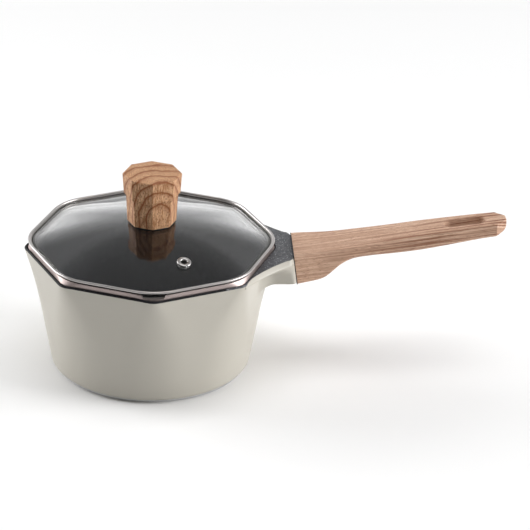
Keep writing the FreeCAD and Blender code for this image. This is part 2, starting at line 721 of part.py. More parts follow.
def drain_slots():
    """Two pouring slots through the band's wall, at the corners a quarter turn from the handle."""
    length = "2 * sizes.rim_apothem + 40"
    block = box("drain_blank", "sizes.drain_width", length, "sizes.drain_high - sizes.drain_low")
    lift(block, "sizes.drain_low")
    bind(block, **{".Placement.Base.x": "-sizes.drain_width / 2",
                   ".Placement.Base.y": "-sizes.rim_apothem - 20"})
    low = value("sizes.drain_low") + 0.1
    return rounded("drain_slots", block, lambda e: e.BoundBox.ZMax < low and e.BoundBox.YLength > 100,
                   "sizes.drain_round")


def make_band():
    """Rolled steel band: foot flange, step, upright wall, shelf under the glass and bead over it."""
    bead_height = "sizes.bead_top - sizes.bead_low"
    sheet_gap = "sizes.band_sheet"
    shelf_top = "sizes.glass_edge_top - sizes.glass_thickness"
    step_top = f"sizes.band_brow_height + {sheet_gap}"
    foot = octagon("band_foot", "sizes.band_foot_apothem", "sizes.band_foot_corner", "sizes.lid_foot_height")
    brow = octagon("band_brow", "sizes.band_wall_apothem", "sizes.band_brow_corner", "sizes.band_brow_height")
    brim = octagon("band_brim", "sizes.band_wall_apothem", "sizes.band_wall_corner", "sizes.bead_low + 0.2")
    upright = prism("band_upright", foot, f"{step_top} - sizes.lid_foot_height")
    wall = loft("band_wall", [brow, brim], ruled=True)
    bead = prism("band_bead_blank", octagon("bead_outline", "sizes.bead_apothem", "sizes.bead_corner",
                                            "sizes.bead_low"), bead_height)
    bead = rounded("band_bead", bead, lambda e: e.BoundBox.ZLength < 0.01, "sizes.bead_round")
    low_room = prism("band_low_room", octagon(
        "low_room_outline", f"sizes.band_foot_apothem - {sheet_gap}", f"sizes.band_foot_corner - {sheet_gap}",
        f"sizes.lid_foot_height + {sheet_gap}"), f"{step_top} - sizes.lid_foot_height")
    room = prism("band_room", octagon(
        "room_outline", f"sizes.band_wall_apothem - {sheet_gap}", f"sizes.band_wall_corner - {sheet_gap}",
        step_top), f"{shelf_top} - {sheet_gap} - ({step_top})")
    pocket = prism("glass_pocket", octagon("pocket_outline", "sizes.glass_apothem", "sizes.glass_corner", shelf_top),
                   "sizes.glass_thickness")
    foot_hole = prism("foot_hole", octagon("foot_hole_outline", "sizes.band_foot_inner", "sizes.band_foot_corner",
                                           "sizes.lid_foot_height - 1"), "3")
    shelf_hole = prism("shelf_hole", octagon("shelf_outline", "sizes.shelf_inner_apothem", "sizes.glass_corner",
                                             f"{shelf_top} - 2"), "3")
    sight = prism("sight_hole", octagon("sight_outline", "sizes.bead_inner_apothem", "sizes.glass_corner",
                                        "sizes.glass_edge_top - 0.5"), "3")
    solid = fuse("band_solid", [upright, wall, bead])
    hollows = fuse("band_hollows", [low_room, room, pocket, foot_hole, shelf_hole, sight, drain_slots()])
    return cut("band", solid, hollows)


def make_vent():
    """Eyelet pressed through the glass and the ring that it is closed over underneath."""
    ring_top = "-sizes.vent_glass_depth"
    ring_low = f"{ring_top} - sizes.vent_ring_thickness"
    flange = "sizes.vent_flange_radius"
    eyelet = turned("eyelet_body", [
        ("sizes.vent_hole_radius", f"{ring_low} - 0.6"),
        ("sizes.vent_tube_radius + 0.7", f"{ring_low} - 0.6"), ("sizes.vent_tube_radius + 0.7", ring_low),
        ("sizes.vent_tube_radius", ring_low), ("sizes.vent_tube_radius", "0.05"),
        (flange, "0.05"), (flange, "sizes.vent_flange_height * 0.5"),
        (f"{flange} - 0.8", "sizes.vent_flange_height"),
        ("sizes.vent_hole_radius + 0.7", "sizes.vent_flange_height"),
        ("sizes.vent_hole_radius", "sizes.vent_flange_height * 0.5")])
    ring = turned("ring_body", [
        ("sizes.vent_tube_radius + 0.02", f"{ring_top} - 0.05"),
        ("sizes.vent_tube_radius + 0.02", ring_low), ("sizes.vent_ring_radius", ring_low),
        ("sizes.vent_ring_radius", f"{ring_top} - 0.05")])
    for piece in (eyelet, ring):
        piece.Placement = vent_placement()
    return eyelet, ring


# ---------------------------------------------------------------- knob

def make_knob():
    """Octagonal knob: tapering stem, a small step, and a head that widens to its top."""
    foot = "sizes.dome_top + sizes.knob_gasket_thickness"
    outlines = [sharp_octagon(f"knob_{name}", f"sizes.knob_{name}_radius", height)
                for name, height in (("foot", foot), ("neck", "sizes.knob_neck_height"),
                                     ("head", "sizes.knob_head_height"),
                                     ("crown", "sizes.knob_crown_height"), ("top", "sizes.knob_top"))]
    form = loft("knob_form", outlines, ruled=True)
    hole = cylinder("knob_hole", "sizes.insert_radius", "sizes.insert_length", foot)
    tip_room = cylinder("knob_tip_room", "sizes.screw_radius + 0.4", "sizes.insert_length + 4", foot)
    return cut("knob_cut", form, fuse("knob_hollows", [hole, tip_room]))


def make_insert():
    foot = "sizes.dome_top + sizes.knob_gasket_thickness"
    blank = cylinder("insert_blank", "sizes.insert_radius", "sizes.insert_length", foot)
    thread = cylinder("insert_thread", "sizes.screw_radius + sizes.screw_gap", "sizes.insert_length + 2",
                      f"{foot} - 1")
    return cut("insert_cut", blank, thread)


def make_knob_gasket():
    disc = cylinder("knob_pad_disc", "sizes.knob_gasket_radius", "sizes.knob_gasket_thickness", "sizes.dome_top")
    hole = cylinder("knob_pad_hole", "sizes.screw_radius + 0.3", "4", "sizes.dome_top - 1")
    return cut("knob_pad", disc, hole)


def make_knob_seal():
    """Silicone bush: a sleeve in the glass and a flange under it."""
    low = "sizes.dome_top - sizes.glass_thickness"
    return turned("seal_body", [
        ("sizes.screw_radius + 0.2", "sizes.dome_top - 0.3"),
        ("sizes.screw_radius + 0.2", f"{low} - sizes.seal_thickness"),
        ("sizes.seal_radius", f"{low} - sizes.seal_thickness"), ("sizes.seal_radius", f"{low} - 0.05"),
        ("sizes.glass_bore - 0.1", f"{low} - 0.05"), ("sizes.glass_bore - 0.1", "sizes.dome_top - 0.3")])


def make_knob_washer():
    low = "sizes.dome_top - sizes.glass_thickness - sizes.seal_thickness - sizes.knob_washer_thickness"
    disc = cylinder("washer_disc", "sizes.knob_washer_radius", "sizes.knob_washer_thickness", low)
    hole = cylinder("washer_hole", "sizes.screw_radius + 0.2", "4", f"{low} - 1")
    return cut("washer_cut", disc, hole)


def make_knob_screw():
    """Slotted pan-head screw that comes up through the lid into the insert."""
    seat = "sizes.dome_top - sizes.glass_thickness - sizes.seal_thickness - sizes.knob_washer_thickness"
    head_low = f"{seat} - sizes.screw_head_height"
    screw = turned("screw_body", [
        ("0", head_low), ("sizes.screw_head_radius - 0.8", head_low),
        ("sizes.screw_head_radius", f"{head_low} + 1.0"), ("sizes.screw_head_radius", seat),
        ("sizes.screw_radius", seat), ("sizes.screw_radius", f"{seat} + sizes.screw_reach - 0.5"),
        ("sizes.screw_radius - 0.5", f"{seat} + sizes.screw_reach"), ("0", f"{seat} + sizes.screw_reach")])
    slot = box("screw_slot", "2 * sizes.screw_head_radius + 2", "sizes.screw_slot_width",
               "sizes.screw_slot_depth + 1")
    lift(slot, f"{head_low} - 1")
    bind(slot, **{".Placement.Base.x": "-sizes.screw_head_radius - 1",
                  ".Placement.Base.y": "-sizes.screw_slot_width / 2"})
    return cut("screw_cut", screw, slot)


# ---------------------------------------------------------------- assembly

def build():
    fill_sheet()
    subpart(make_pan(), "pan_body")
    subpart(cylinder("plate", "sizes.plate_radius", "sizes.plate_thickness"), "induction_plate")
    grip, gasket = make_grip_and_gasket()
    subpart(grip, "handle_grip")
    subpart(gasket, "handle_gasket")
    subpart(make_bolt(), "handle_bolt")
    flat, spring = make_bolt_washers()
    subpart(flat, "handle_washer")
    subpart(spring, "handle_spring_washer")
    subpart(make_glass(), "lid_glass")
    subpart(make_band(), "lid_rim_band")
    eyelet, ring = make_vent()
    subpart(eyelet, "vent_eyelet")
    subpart(ring, "vent_backing_ring")
    subpart(make_knob(), "knob")
    subpart(make_insert(), "knob_insert")
    subpart(make_knob_gasket(), "knob_gasket")
    subpart(make_knob_seal(), "knob_seal")
    subpart(make_knob_washer(), "knob_washer")
    subpart(make_knob_screw(), "knob_screw")
    doc.recompute()


def check():
    """Stop before anything is written if a feature failed or a sub-part isn't a sound solid."""
    for obj in doc.Objects:
        if {"Invalid", "Error"} & set(obj.State):
            raise RuntimeError(f"{obj.Name} failed: {obj.State}")
    for obj in subparts:
        shape = obj.Shape
        if shape.isNull() or not shape.isValid() or len(shape.Solids) != 1:
            raise RuntimeError(f"{obj.Label} isn't one sound solid: {len(shape.Solids)} solids")


def export():
    os.makedirs("parts", exist_ok=True)
    for obj in subparts:
        obj.Shape.exportStep(f"parts/{obj.Label}.step")
        size = obj.Shape.BoundBox
        print(f"{obj.Label:22s} {obj.Shape.Volume / 1000:9.2f} cm3  "
              f"x {size.XMin:7.1f} {size.XMax:7.1f}  y {size.YMin:7.1f} {size.YMax:7.1f}  "
              f"z {size.ZMin:6.1f} {size.ZMax:6.1f}")


build()
check()
export()
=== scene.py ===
"""Saucepan with a glass lid: the visible pieces, their materials and a plain studio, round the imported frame."""
import math

import bmesh
import bpy
import numpy as np
from mathutils import Matrix, Vector


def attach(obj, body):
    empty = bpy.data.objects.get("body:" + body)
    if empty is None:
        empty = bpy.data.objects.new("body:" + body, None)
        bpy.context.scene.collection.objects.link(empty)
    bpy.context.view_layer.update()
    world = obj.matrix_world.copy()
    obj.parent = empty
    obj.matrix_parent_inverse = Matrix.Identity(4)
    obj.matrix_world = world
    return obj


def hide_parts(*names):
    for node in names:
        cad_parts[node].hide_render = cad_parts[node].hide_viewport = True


# Lengths are millimetres until a mesh is made, and metres in Blender.
MM = 0.001
EIGHTH = math.pi / 4
HALF_EIGHTH = math.pi / 8

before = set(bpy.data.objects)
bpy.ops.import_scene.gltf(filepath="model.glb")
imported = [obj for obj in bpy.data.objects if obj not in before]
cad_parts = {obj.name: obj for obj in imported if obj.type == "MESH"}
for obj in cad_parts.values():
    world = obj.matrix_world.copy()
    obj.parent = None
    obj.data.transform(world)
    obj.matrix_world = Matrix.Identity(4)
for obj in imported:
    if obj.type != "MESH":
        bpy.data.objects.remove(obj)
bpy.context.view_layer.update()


# ---------------------------------------------------------------- shapes in numbers

def column_angles(extra=()):
    """Directions all round, closest together near the eight corners."""
    steps = (0, 0.4, 0.8, 1.2, 1.6, 2.0, 2.5, 3.1, 3.8, 4.6, 5.6, 7.0, 9.0, 11.5, 14.5, 18.0, 22.5)
    found = {round(45 * corner + side * step, 3) % 360
             for corner in range(8) for step in steps for side in (-1, 1)}
    found |= {round(angle, 3) % 360 for angle in extra}
    kept = []
    for angle in sorted(found):
        if not kept or angle - kept[-1] > 0.11:
            kept.append(angle)
    return np.radians(kept)


def octagon_reach(angle, apothem, corner):
    """Distance from the axis to a rounded octagon, in each direction."""
    off = np.abs((angle + HALF_EIGHTH) % EIGHTH - HALF_EIGHTH)
    core = (apothem - corner) / math.cos(HALF_EIGHTH)
    arc = core * np.cos(off) + np.sqrt(np.maximum(corner ** 2 - (core * np.sin(off)) ** 2, 0))
    arc_end = math.atan2(corner * math.sin(HALF_EIGHTH), core + corner * math.cos(HALF_EIGHTH))
    return np.where(off < arc_end, arc, apothem / np.cos(HALF_EIGHTH - off))


def ring(angles, reach, height):
    """Points round the axis at a reach and height in each direction."""
    reach = np.broadcast_to(reach, angles.shape)
    height = np.broadcast_to(height, angles.shape)
    return np.stack([reach * np.cos(angles), reach * np.sin(angles), height], axis=1)


def octagon(angles, apothem, corner, height):
    return ring(angles, octagon_reach(angles, apothem, corner), height)


def through(stations, place):
    """Smooth curve through (place, value) pairs."""
    places, values = np.array(stations, float).T
    slopes = np.gradient(values, places)
    i = np.clip(np.searchsorted(places, place) - 1, 0, len(places) - 2)
    gap = places[i + 1] - places[i]
    t = (place - places[i]) / gap
    return ((2 * t ** 3 - 3 * t ** 2 + 1) * values[i] + (t ** 3 - 2 * t ** 2 + t) * gap * slopes[i]
            + (3 * t ** 2 - 2 * t ** 3) * values[i + 1] + (t ** 3 - t ** 2) * gap * slopes[i + 1])


def smooth_step(low, high, x):
    t = np.clip((x - low) / (high - low), 0, 1)
    return t * t * (3 - 2 * t)


# ---------------------------------------------------------------- meshes

def skin(rings, closed=False, caps=(False, False)):
    """Quads between rings of points, with fans to the middle of an end that is capped."""
    count = len(rings[0])
    points = [p for r in rings for p in r]
    levels = len(rings)
    faces, bands = [], []
    for level in range(levels if closed else levels - 1):
        here, after = level * count, ((level + 1) % levels) * count
        for i in range(count):
            j = (i + 1) % count
            faces.append((here + i, here + j, after + j, after + i))
            bands.append(level)
    for wanted, level in zip(caps, (0, levels - 1)):
        if wanted:
            points.append(rings[level].mean(axis=0))
            middle = len(points) - 1
            for i in range(count):
                faces.append((level * count + i, level * count + (i + 1) % count, middle))
                bands.append(min(level, levels - 2))
    return np.array(points), faces, bands


def mesh_object(name, points, faces, face_materials=None, materials=(), crease=32):
    """Object with smooth faces and edges kept sharp where the surface turns by more than crease degrees."""
    mesh = bpy.data.meshes.new(name)
    mesh.from_pydata((np.array(points) * MM).tolist(), [], faces)
    for material in materials:
        mesh.materials.append(material)
    if face_materials is not None:
        mesh.polygons.foreach_set("material_index", np.array(face_materials, np.int32))
    obj = bpy.data.objects.new(name, mesh)
    bpy.context.scene.collection.objects.link(obj)
    tidy_mesh(obj, crease)
    return obj


def tidy_mesh(obj, crease):
    """Join points that coincide, turn faces outward and mark sharp edges."""
    work = bmesh.new()
    work.from_mesh(obj.data)
    bmesh.ops.remove_doubles(work, verts=work.verts, dist=2e-6)
    bmesh.ops.dissolve_degenerate(work, dist=1e-7, edges=work.edges)
    bmesh.ops.recalc_face_normals(work, faces=work.faces)
    limit = math.radians(crease)
    for face in work.faces:
        face.smooth = True
    for edge in work.edges:
        edge.smooth = len(edge.link_faces) == 2 and edge.calc_face_angle(0) < limit
    work.to_mesh(obj.data)
    work.free()


def carve(obj, tools, crease):
    """Cut tools out of an object and remove them."""
    for tool in tools:
        change = obj.modifiers.new("carve", "BOOLEAN")
        change.operation = "DIFFERENCE"
        change.solver = "EXACT"
        change.object = tool
    bpy.context.view_layer.update()
    evaluated = obj.evaluated_get(bpy.context.evaluated_depsgraph_get())
    mesh = bpy.data.meshes.new_from_object(evaluated)
    obj.modifiers.clear()
    obj.data = mesh
    for tool in tools:
        bpy.data.objects.remove(tool)
    tidy_mesh(obj, crease)


def slice_off(obj, point, outward, crease):
    """Cut an object with a plane, drop what is outward of it and close the cut."""
    work = bmesh.new()
    work.from_mesh(obj.data)
    everything = list(work.verts) + list(work.edges) + list(work.faces)
    made = bmesh.ops.bisect_plane(work, geom=everything, dist=1e-7, plane_co=Vector(point) * MM,
                                  plane_no=outward, clear_outer=True)
    rim = [e for e in made["geom_cut"] if isinstance(e, bmesh.types.BMEdge)]
    bmesh.ops.contextual_create(work, geom=rim)
    work.to_mesh(obj.data)
    work.free()
    tidy_mesh(obj, crease)


def cylinder_tool(radius, start, end, segments=48):
    """Plain rod between two points, for carving."""
    start, end = np.array(start, float), np.array(end, float)
    axis = Vector(end - start).normalized()
    turn = np.array(axis.to_track_quat("Z", "Y").to_matrix())
    around = np.linspace(0, 2 * math.pi, segments, endpoint=False)
    circle = np.stack([radius * np.cos(around), radius * np.sin(around), 0 * around], axis=1) @ turn.T
    points, faces, _ = skin([circle + start, circle + end], caps=(True, True))
    return mesh_object("rod", points, faces)


def place(obj, body, slot, *nodes):
    """Ride on a body and stand for CAD nodes; the slot is not used."""
    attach(obj, body)
    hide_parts(*nodes)


# ---------------------------------------------------------------- materials

def new_material(name):
    material = bpy.data.materials.new(name)
    material.use_nodes = True
    material.node_tree.nodes.clear()
    return material


def node(tree, kind, inputs=None, **settings):
    """Add a node; inputs maps a socket's name or number to a value or to another node's output."""
    made = tree.nodes.new(kind)
    for key, setting in settings.items():
        setattr(made, key, setting)
    for key, given in (inputs or {}).items():
        if isinstance(given, bpy.types.NodeSocket):
            tree.links.new(given, made.inputs[key])
        else:
            made.inputs[key].default_value = given
    return made


def math_node(tree, operation, *values):
    return node(tree, "ShaderNodeMath", dict(enumerate(values)), operation=operation).outputs[0]


def rescale(tree, value, low, high, low_result, high_result):
    """Number that runs from one result to the other as the value goes from low to high."""
    return node(tree, "ShaderNodeMapRange", {
        "Value": value, "From Min": low, "From Max": high,
        "To Min": low_result, "To Max": high_result}).outputs[0]


def ramp(tree, factor, stops):
    """Colour ramp; stops are (place, grey or colour)."""
    made = node(tree, "ShaderNodeValToRGB", {0: factor})
    for index, (spot, colour) in enumerate(stops):
        element = made.color_ramp.elements[index] if index < 2 else made.color_ramp.elements.new(spot)
        element.position = spot
        element.color = (*colour, 1) if hasattr(colour, "__len__") else (colour, colour, colour, 1)
    return made.outputs[0]


def place_of(tree, scale=(1, 1, 1), shift=(0, 0, 0)):
    """Position on the object, in metres, scaled and then shifted."""
    coordinates = node(tree, "ShaderNodeTexCoord")
    return node(tree, "ShaderNodeMapping", {
        "Vector": coordinates.outputs["Object"], "Scale": scale, "Location": shift}).outputs[0]


def noise(tree, vector, scale, detail=2.0, roughness=0.5):
    return node(tree, "ShaderNodeTexNoise", {
        "Vector": vector, "Scale": scale, "Detail": detail, "Roughness": roughness}).outputs[0]


def mix_colour(tree, factor, first, second):
    """First colour where the factor is 0, second where it is 1."""
    made = node(tree, "ShaderNodeMix", data_type="RGBA")
    for index, given in {0: factor, 6: first, 7: second}.items():
        if isinstance(given, bpy.types.NodeSocket):
            tree.links.new(given, made.inputs[index])
        else:
            made.inputs[index].default_value = (*given, 1) if hasattr(given, "__len__") else given
    return made.outputs[2]


def finish_material(material, shader, height=None, bump=0.1, distance=0.0002):
    """Link a shader to the output, with a bump from a height."""
    tree = material.node_tree
    if height is not None:
        relief = node(tree, "ShaderNodeBump", {"Strength": bump, "Distance": distance, "Height": height})
        tree.links.new(relief.outputs[0], shader.inputs["Normal"])
    node(tree, "ShaderNodeOutputMaterial", {"Surface": shader.outputs[0]})
    return material


def cream_paint():
    """Satin paint with faint clouding, under a thin coat."""
    material = new_material("cream_paint")
    tree = material.node_tree
    where = place_of(tree)
    cloud = noise(tree, where, 22, detail=3)
    colour = mix_colour(tree, cloud, (0.465, 0.440, 0.384), (0.485, 0.460, 0.402))
    fine = noise(tree, where, 900, detail=2)
    rough = ramp(tree, noise(tree, where, 60), [(0.3, 0.36), (0.7, 0.42)])
    shader = node(tree, "ShaderNodeBsdfPrincipled", {
        "Base Color": colour, "Roughness": rough, "IOR": 1.48, "Coat Weight": 0.2, "Coat Roughness": 0.25})
    return finish_material(material, shader, fine, bump=0.05, distance=0.0001)


def granite_coating(name, dark, pale, speck_strength, roughness, shine):
    """Dark stone-look nonstick coating with fine pale specks."""
    material = new_material(name)
    tree = material.node_tree
    where = place_of(tree)
    cloud = noise(tree, where, 260, detail=4, roughness=0.65)
    colour = ramp(tree, cloud, [(0.32, dark), (0.72, pale)])
    speck_sets = ((560, 0.30, 0.50), (1050, 0.34, 0.32), (330, 0.17, 0.80))
    for scale, size, share in speck_sets:
        strength = share * speck_strength
        cells = node(tree, "ShaderNodeTexVoronoi", {"Vector": where, "Scale": scale, "Randomness": 1.0})
        speck = ramp(tree, cells.outputs["Distance"], [(size * 0.55, 1.0), (size, 0.0)])
        chance = node(tree, "ShaderNodeSeparateColor", {0: cells.outputs["Color"]}).outputs[0]
        some = math_node(tree, "GREATER_THAN", chance, 0.52)
        amount = math_node(tree, "MULTIPLY", math_node(tree, "MULTIPLY", speck, some), strength)
        colour = mix_colour(tree, amount, colour, (0.66, 0.67, 0.71))
    relief = noise(tree, where, 1500, detail=3)
    shader = node(tree, "ShaderNodeBsdfPrincipled", {
        "Base Color": colour, "Roughness": roughness, "Specular IOR Level": shine})
    return finish_material(material, shader, relief, bump=0.25, distance=0.0001)


def turned_metal(name, colour, roughness, axis_scale=1500):
    """Bare metal with fine lathe rings round the Z axis."""
    material = new_material(name)
    tree = material.node_tree
    where = place_of(tree)
    parts = node(tree, "ShaderNodeSeparateXYZ", {0: where})
    flat = node(tree, "ShaderNodeCombineXYZ", {0: parts.outputs[0], 1: parts.outputs[1]})
    radius = node(tree, "ShaderNodeVectorMath", {0: flat.outputs[0]}, operation="LENGTH").outputs["Value"]
    line = node(tree, "ShaderNodeCombineXYZ", {0: radius}).outputs[0]
    rings = noise(tree, line, axis_scale, detail=3, roughness=0.7)
    tone = ramp(tree, rings, [(0.3, tuple(c * 0.88 for c in colour)), (0.7, colour)])
    shader = node(tree, "ShaderNodeBsdfPrincipled", {
        "Base Color": tone, "Metallic": 1.0, "Roughness": roughness})
    return finish_material(material, shader, rings, bump=0.15, distance=0.0001)


def worked_steel(name, colour, roughness, bump=0.04):
    """Steel or brass with faint handling marks."""
    material = new_material(name)
    tree = material.node_tree
    where = place_of(tree)
    marks = noise(tree, where, 90, detail=2, roughness=0.5)
    rough = ramp(tree, marks, [(0.3, roughness * 0.9), (0.7, roughness * 1.1)])
    tone = mix_colour(tree, marks, tuple(c * 0.93 for c in colour), colour)
    shader = node(tree, "ShaderNodeBsdfPrincipled", {
        "Base Color": tone, "Metallic": 1.0, "Roughness": rough})
    return finish_material(material, shader, marks, bump=bump, distance=0.0001)


def black_silicone():
    """Matt black rubber with fine grain."""
    material = new_material("black_silicone")
    tree = material.node_tree
    grain = noise(tree, place_of(tree), 1200, detail=2)
    tone = ramp(tree, grain, [(0.3, 0.010), (0.7, 0.022)])
    shader = node(tree, "ShaderNodeBsdfPrincipled", {"Base Color": tone, "Roughness": 0.62})
    return finish_material(material, shader, grain, bump=0.1)


def clear_glass():
    """Faintly smeared glass that lets light through to the pan, so shadows under it stay soft."""
    material = new_material("clear_glass")
    tree = material.node_tree
    smears = noise(tree, place_of(tree), 35, detail=3)
    rough = ramp(tree, smears, [(0.35, 0.0), (0.75, 0.035)])
    glass = node(tree, "ShaderNodeBsdfPrincipled", {
        "Base Color": (0.94, 0.945, 0.955, 1), "Roughness": rough, "IOR": 1.5, "Transmission Weight": 1.0})
    passing = node(tree, "ShaderNodeBsdfTransparent", {"Color": (0.86, 0.88, 0.88, 1)})
    path = node(tree, "ShaderNodeLightPath")
    shader = node(tree, "ShaderNodeMixShader", {
        0: path.outputs["Is Shadow Ray"], 1: glass.outputs[0], 2: passing.outputs[0]})
    return finish_material(material, shader)


GRAIN_SLOPE = 0.15


def straight_wood():
    """Pale oak for the handle: fine fibres, pores, and bands and dark lines that climb with it."""
    material = new_material("handle_oak")
    tree = material.node_tree
    warp = noise(tree, place_of(tree, scale=(5, 24, 24)), 1.0, detail=2)
    bend = math_node(tree, "MULTIPLY", warp, 0.010)
    parts = node(tree, "ShaderNodeSeparateXYZ", {0: place_of(tree)})
    climb = math_node(tree, "MULTIPLY", parts.outputs[0], GRAIN_SLOPE)
    above = math_node(tree, "SUBTRACT", parts.outputs[2], climb)
    across = math_node(tree, "ADD", parts.outputs[1], math_node(tree, "MULTIPLY", above, 1.7))
    across = math_node(tree, "ADD", across, bend)
    lanes = node(tree, "ShaderNodeCombineXYZ", {
        0: math_node(tree, "MULTIPLY", parts.outputs[0], 0.03), 1: across}).outputs[0]
    bands = noise(tree, lanes, 260, detail=4, roughness=0.62)
    fibres = noise(tree, place_of(tree, scale=(45, 1500, 1500)), 1.0, detail=3, roughness=0.6)
    pores = noise(tree, place_of(tree, scale=(130, 1900, 1900), shift=(3, 1, 7)), 1.0, detail=1)
    colour = ramp(tree, bands, [(0.32, (0.330, 0.170, 0.105)), (0.43, (0.530, 0.330, 0.225)),
                                (0.55, (0.660, 0.440, 0.315)), (0.72, (0.740, 0.530, 0.400))])
    toward_end = rescale(tree, parts.outputs[0], 0.12, 0.23, 0.06, 1.0)
    lines = ramp(tree, noise(tree, lanes, 400, detail=2, roughness=0.5), [(0.51, 0.0), (0.57, 1.0)])
    colour = mix_colour(tree, math_node(tree, "MULTIPLY", lines, toward_end), colour, (0.200, 0.068, 0.026))
    colour = mix_colour(tree, ramp(tree, fibres, [(0.35, 0.60), (0.60, 0.0)]), colour, (0.36, 0.195, 0.125))
    holes = ramp(tree, pores, [(0.30, 0.80), (0.38, 0.0)])
    colour = mix_colour(tree, holes, colour, (0.22, 0.105, 0.060))
    relief = math_node(tree, "SUBTRACT", fibres, holes)
    shader = node(tree, "ShaderNodeBsdfPrincipled", {
        "Base Color": colour, "Roughness": 0.62, "IOR": 1.45})
    return finish_material(material, shader, relief, bump=0.25, distance=0.0002)


RING_SHIFT = (-0.0075, 0.035, -0.124)
RING_STRETCH = (1.0, 0.77, 0.74)
RINGS_PER_METRE = 178.0


def ringed_wood():
    """Warm wood for the knob, with growth rings that arch over its lower front."""
    material = new_material("knob_wood")
    tree = material.node_tree
    warp = noise(tree, place_of(tree, scale=(55, 55, 55)), 1.0, detail=2)
    centred = place_of(tree, shift=RING_SHIFT)
    squeezed = node(tree, "ShaderNodeVectorMath", {0: centred, 1: RING_STRETCH}, operation="MULTIPLY")
    far = node(tree, "ShaderNodeVectorMath", {0: squeezed.outputs[0]}, operation="LENGTH").outputs["Value"]
    far = math_node(tree, "ADD", far, math_node(tree, "MULTIPLY", warp, 0.007))
    phase = math_node(tree, "FRACT", math_node(tree, "MULTIPLY", far, RINGS_PER_METRE))
    late = ramp(tree, phase, [
        (0.0, 1.0), (0.06, 0.30), (0.28, 0.05), (0.62, 0.14), (0.83, 0.50), (0.93, 1.0)])
    fibres = noise(tree, place_of(tree, scale=(1100, 1100, 130)), 1.0, detail=3, roughness=0.65)
    pores = noise(tree, place_of(tree, scale=(1250, 1250, 620), shift=(5, 2, 1)), 1.0, detail=1)
    dark_fibres = ramp(tree, fibres, [(0.38, 1.0), (0.60, 0.0)])
    light = mix_colour(tree, dark_fibres, (0.70, 0.425, 0.240), (0.36, 0.160, 0.062))
    colour = mix_colour(tree, late, light, (0.235, 0.070, 0.016))
    holes = ramp(tree, pores, [(0.34, 0.75), (0.43, 0.0)])
    colour = mix_colour(tree, holes, colour, (0.16, 0.062, 0.024))
    relief = math_node(tree, "SUBTRACT", fibres, holes)
    shader = node(tree, "ShaderNodeBsdfPrincipled", {
        "Base Color": colour, "Roughness": 0.58, "IOR": 1.45})
    return finish_material(material, shader, relief, bump=0.2, distance=0.0002)


PAINT = cream_paint()
GRANITE = granite_coating("granite_coating", (0.030, 0.031, 0.035), (0.110, 0.113, 0.126), 1.1, 0.45, 0.5)
# A much darker copy of the granite coating: painted shade inside the pan and on the rim strip under the band.
SHADED_COATING = granite_coating("coating_painted_shade", (0.008, 0.008, 0.010), (0.018, 0.018, 0.021), 0.10, 0.6, 0.15)
BARE_ALUMINIUM = turned_metal("bare_aluminium", (0.72, 0.72, 0.73), 0.35)
BASE_STEEL = turned_metal("base_steel", (0.56, 0.55, 0.54), 0.3, axis_scale=900)
# The band's wall takes a darker, warmer copy of the bead's steel: a painted darker reflection.
WALL_STEEL_PAINTED_DARK = worked_steel("band_wall_painted_dark_steel", (0.42, 0.35, 0.335), 0.46, bump=0.0)
BEAD_STEEL = worked_steel("bead_steel", (0.50, 0.475, 0.465), 0.34, bump=0.0)
# Near-black copy of the steel for the groove under the bead and the room under the shelf: painted shade.
GROOVE_SHADE_STEEL = worked_steel("groove_shade_steel", (0.09, 0.085, 0.08), 0.5, bump=0.0)
SHADED_STEEL = worked_steel("shaded_steel", (0.20, 0.19, 0.175), 0.35, bump=0.0)
VENT_STEEL = worked_steel("vent_steel", (0.46, 0.445, 0.435), 0.34, bump=0.0)
ZINC_STEEL = worked_steel("zinc_steel", (0.56, 0.56, 0.57), 0.34, bump=0.1)
BRASS = worked_steel("insert_brass", (0.72, 0.52, 0.22), 0.3)
SILICONE = black_silicone()
GLASS = clear_glass()
HANDLE_WOOD = straight_wood()
KNOB_WOOD = ringed_wood()


# ---------------------------------------------------------------- pan

# Heights, with the wall's apothem and corner radius outside and inside.
RIM_TOP = 98.0
WALL_APOTHEM = [(4.5, 78.1), (30, 81.9), (60, 86.2), (78, 88.9), (98, 92.4)]
WALL_CORNER = [(4.5, 76.0), (30, 68.0), (60, 57.0), (78, 38.0), (98, 9.0)]
INNER_APOTHEM = [(14, 76.8), (60, 82.6), (90, 81.6)]
INNER_CORNER = [(14, 73.5), (60, 55.0), (90, 42.0)]

# The handle joint: a point on its face, and the face's lean.
JOINT = (109.5, 0.0, 100.0)
JOINT_TILT = math.radians(8)
JOINT_OUTWARD = Vector((math.cos(JOINT_TILT), 0, math.sin(JOINT_TILT)))
JOINT_HALF = 22.9

# The bridge: its top flares on an arc from its end (x, half width) out to the rim corner.
BRIDGE_END = (113.5, 24.2)
WING = (70.5, 70.0)
FLARE_RADIUS = 150.0
BRIDGE_LOW = 77.0
BRIDGE_NARROW = BRIDGE_END[1] + 1.9
BRIDGE_EDGE = 1.6
BRIDGE_END_ROUND = 3.6
BRIDGE_BEYOND = 125.0

# Reach and height, inside the wall, that the outer skin's rays start from.
PIVOT = (72.0, 92.0)


def wall_distance(x, y, z):
    """Signed distance from the pan's outer wall in plan: negative inside."""
    apothem, corner = through(WALL_APOTHEM, z), through(WALL_CORNER, z)
    angle = (np.arctan2(y, x) + HALF_EIGHTH) % EIGHTH - HALF_EIGHTH
    reach = np.hypot(x, y)
    along, across = reach * np.cos(angle), np.abs(reach * np.sin(angle))
    core = apothem - corner
    tip = core / math.cos(HALF_EIGHTH)
    from_flat = along * math.cos(HALF_EIGHTH) + across * math.sin(HALF_EIGHTH) - core
    past_tip = -(along - tip) * math.sin(HALF_EIGHTH) + across * math.cos(HALF_EIGHTH)
    from_tip = np.hypot(along - tip, across)
    return np.where((past_tip < 0) & (from_flat > 0), from_tip, from_flat) - corner


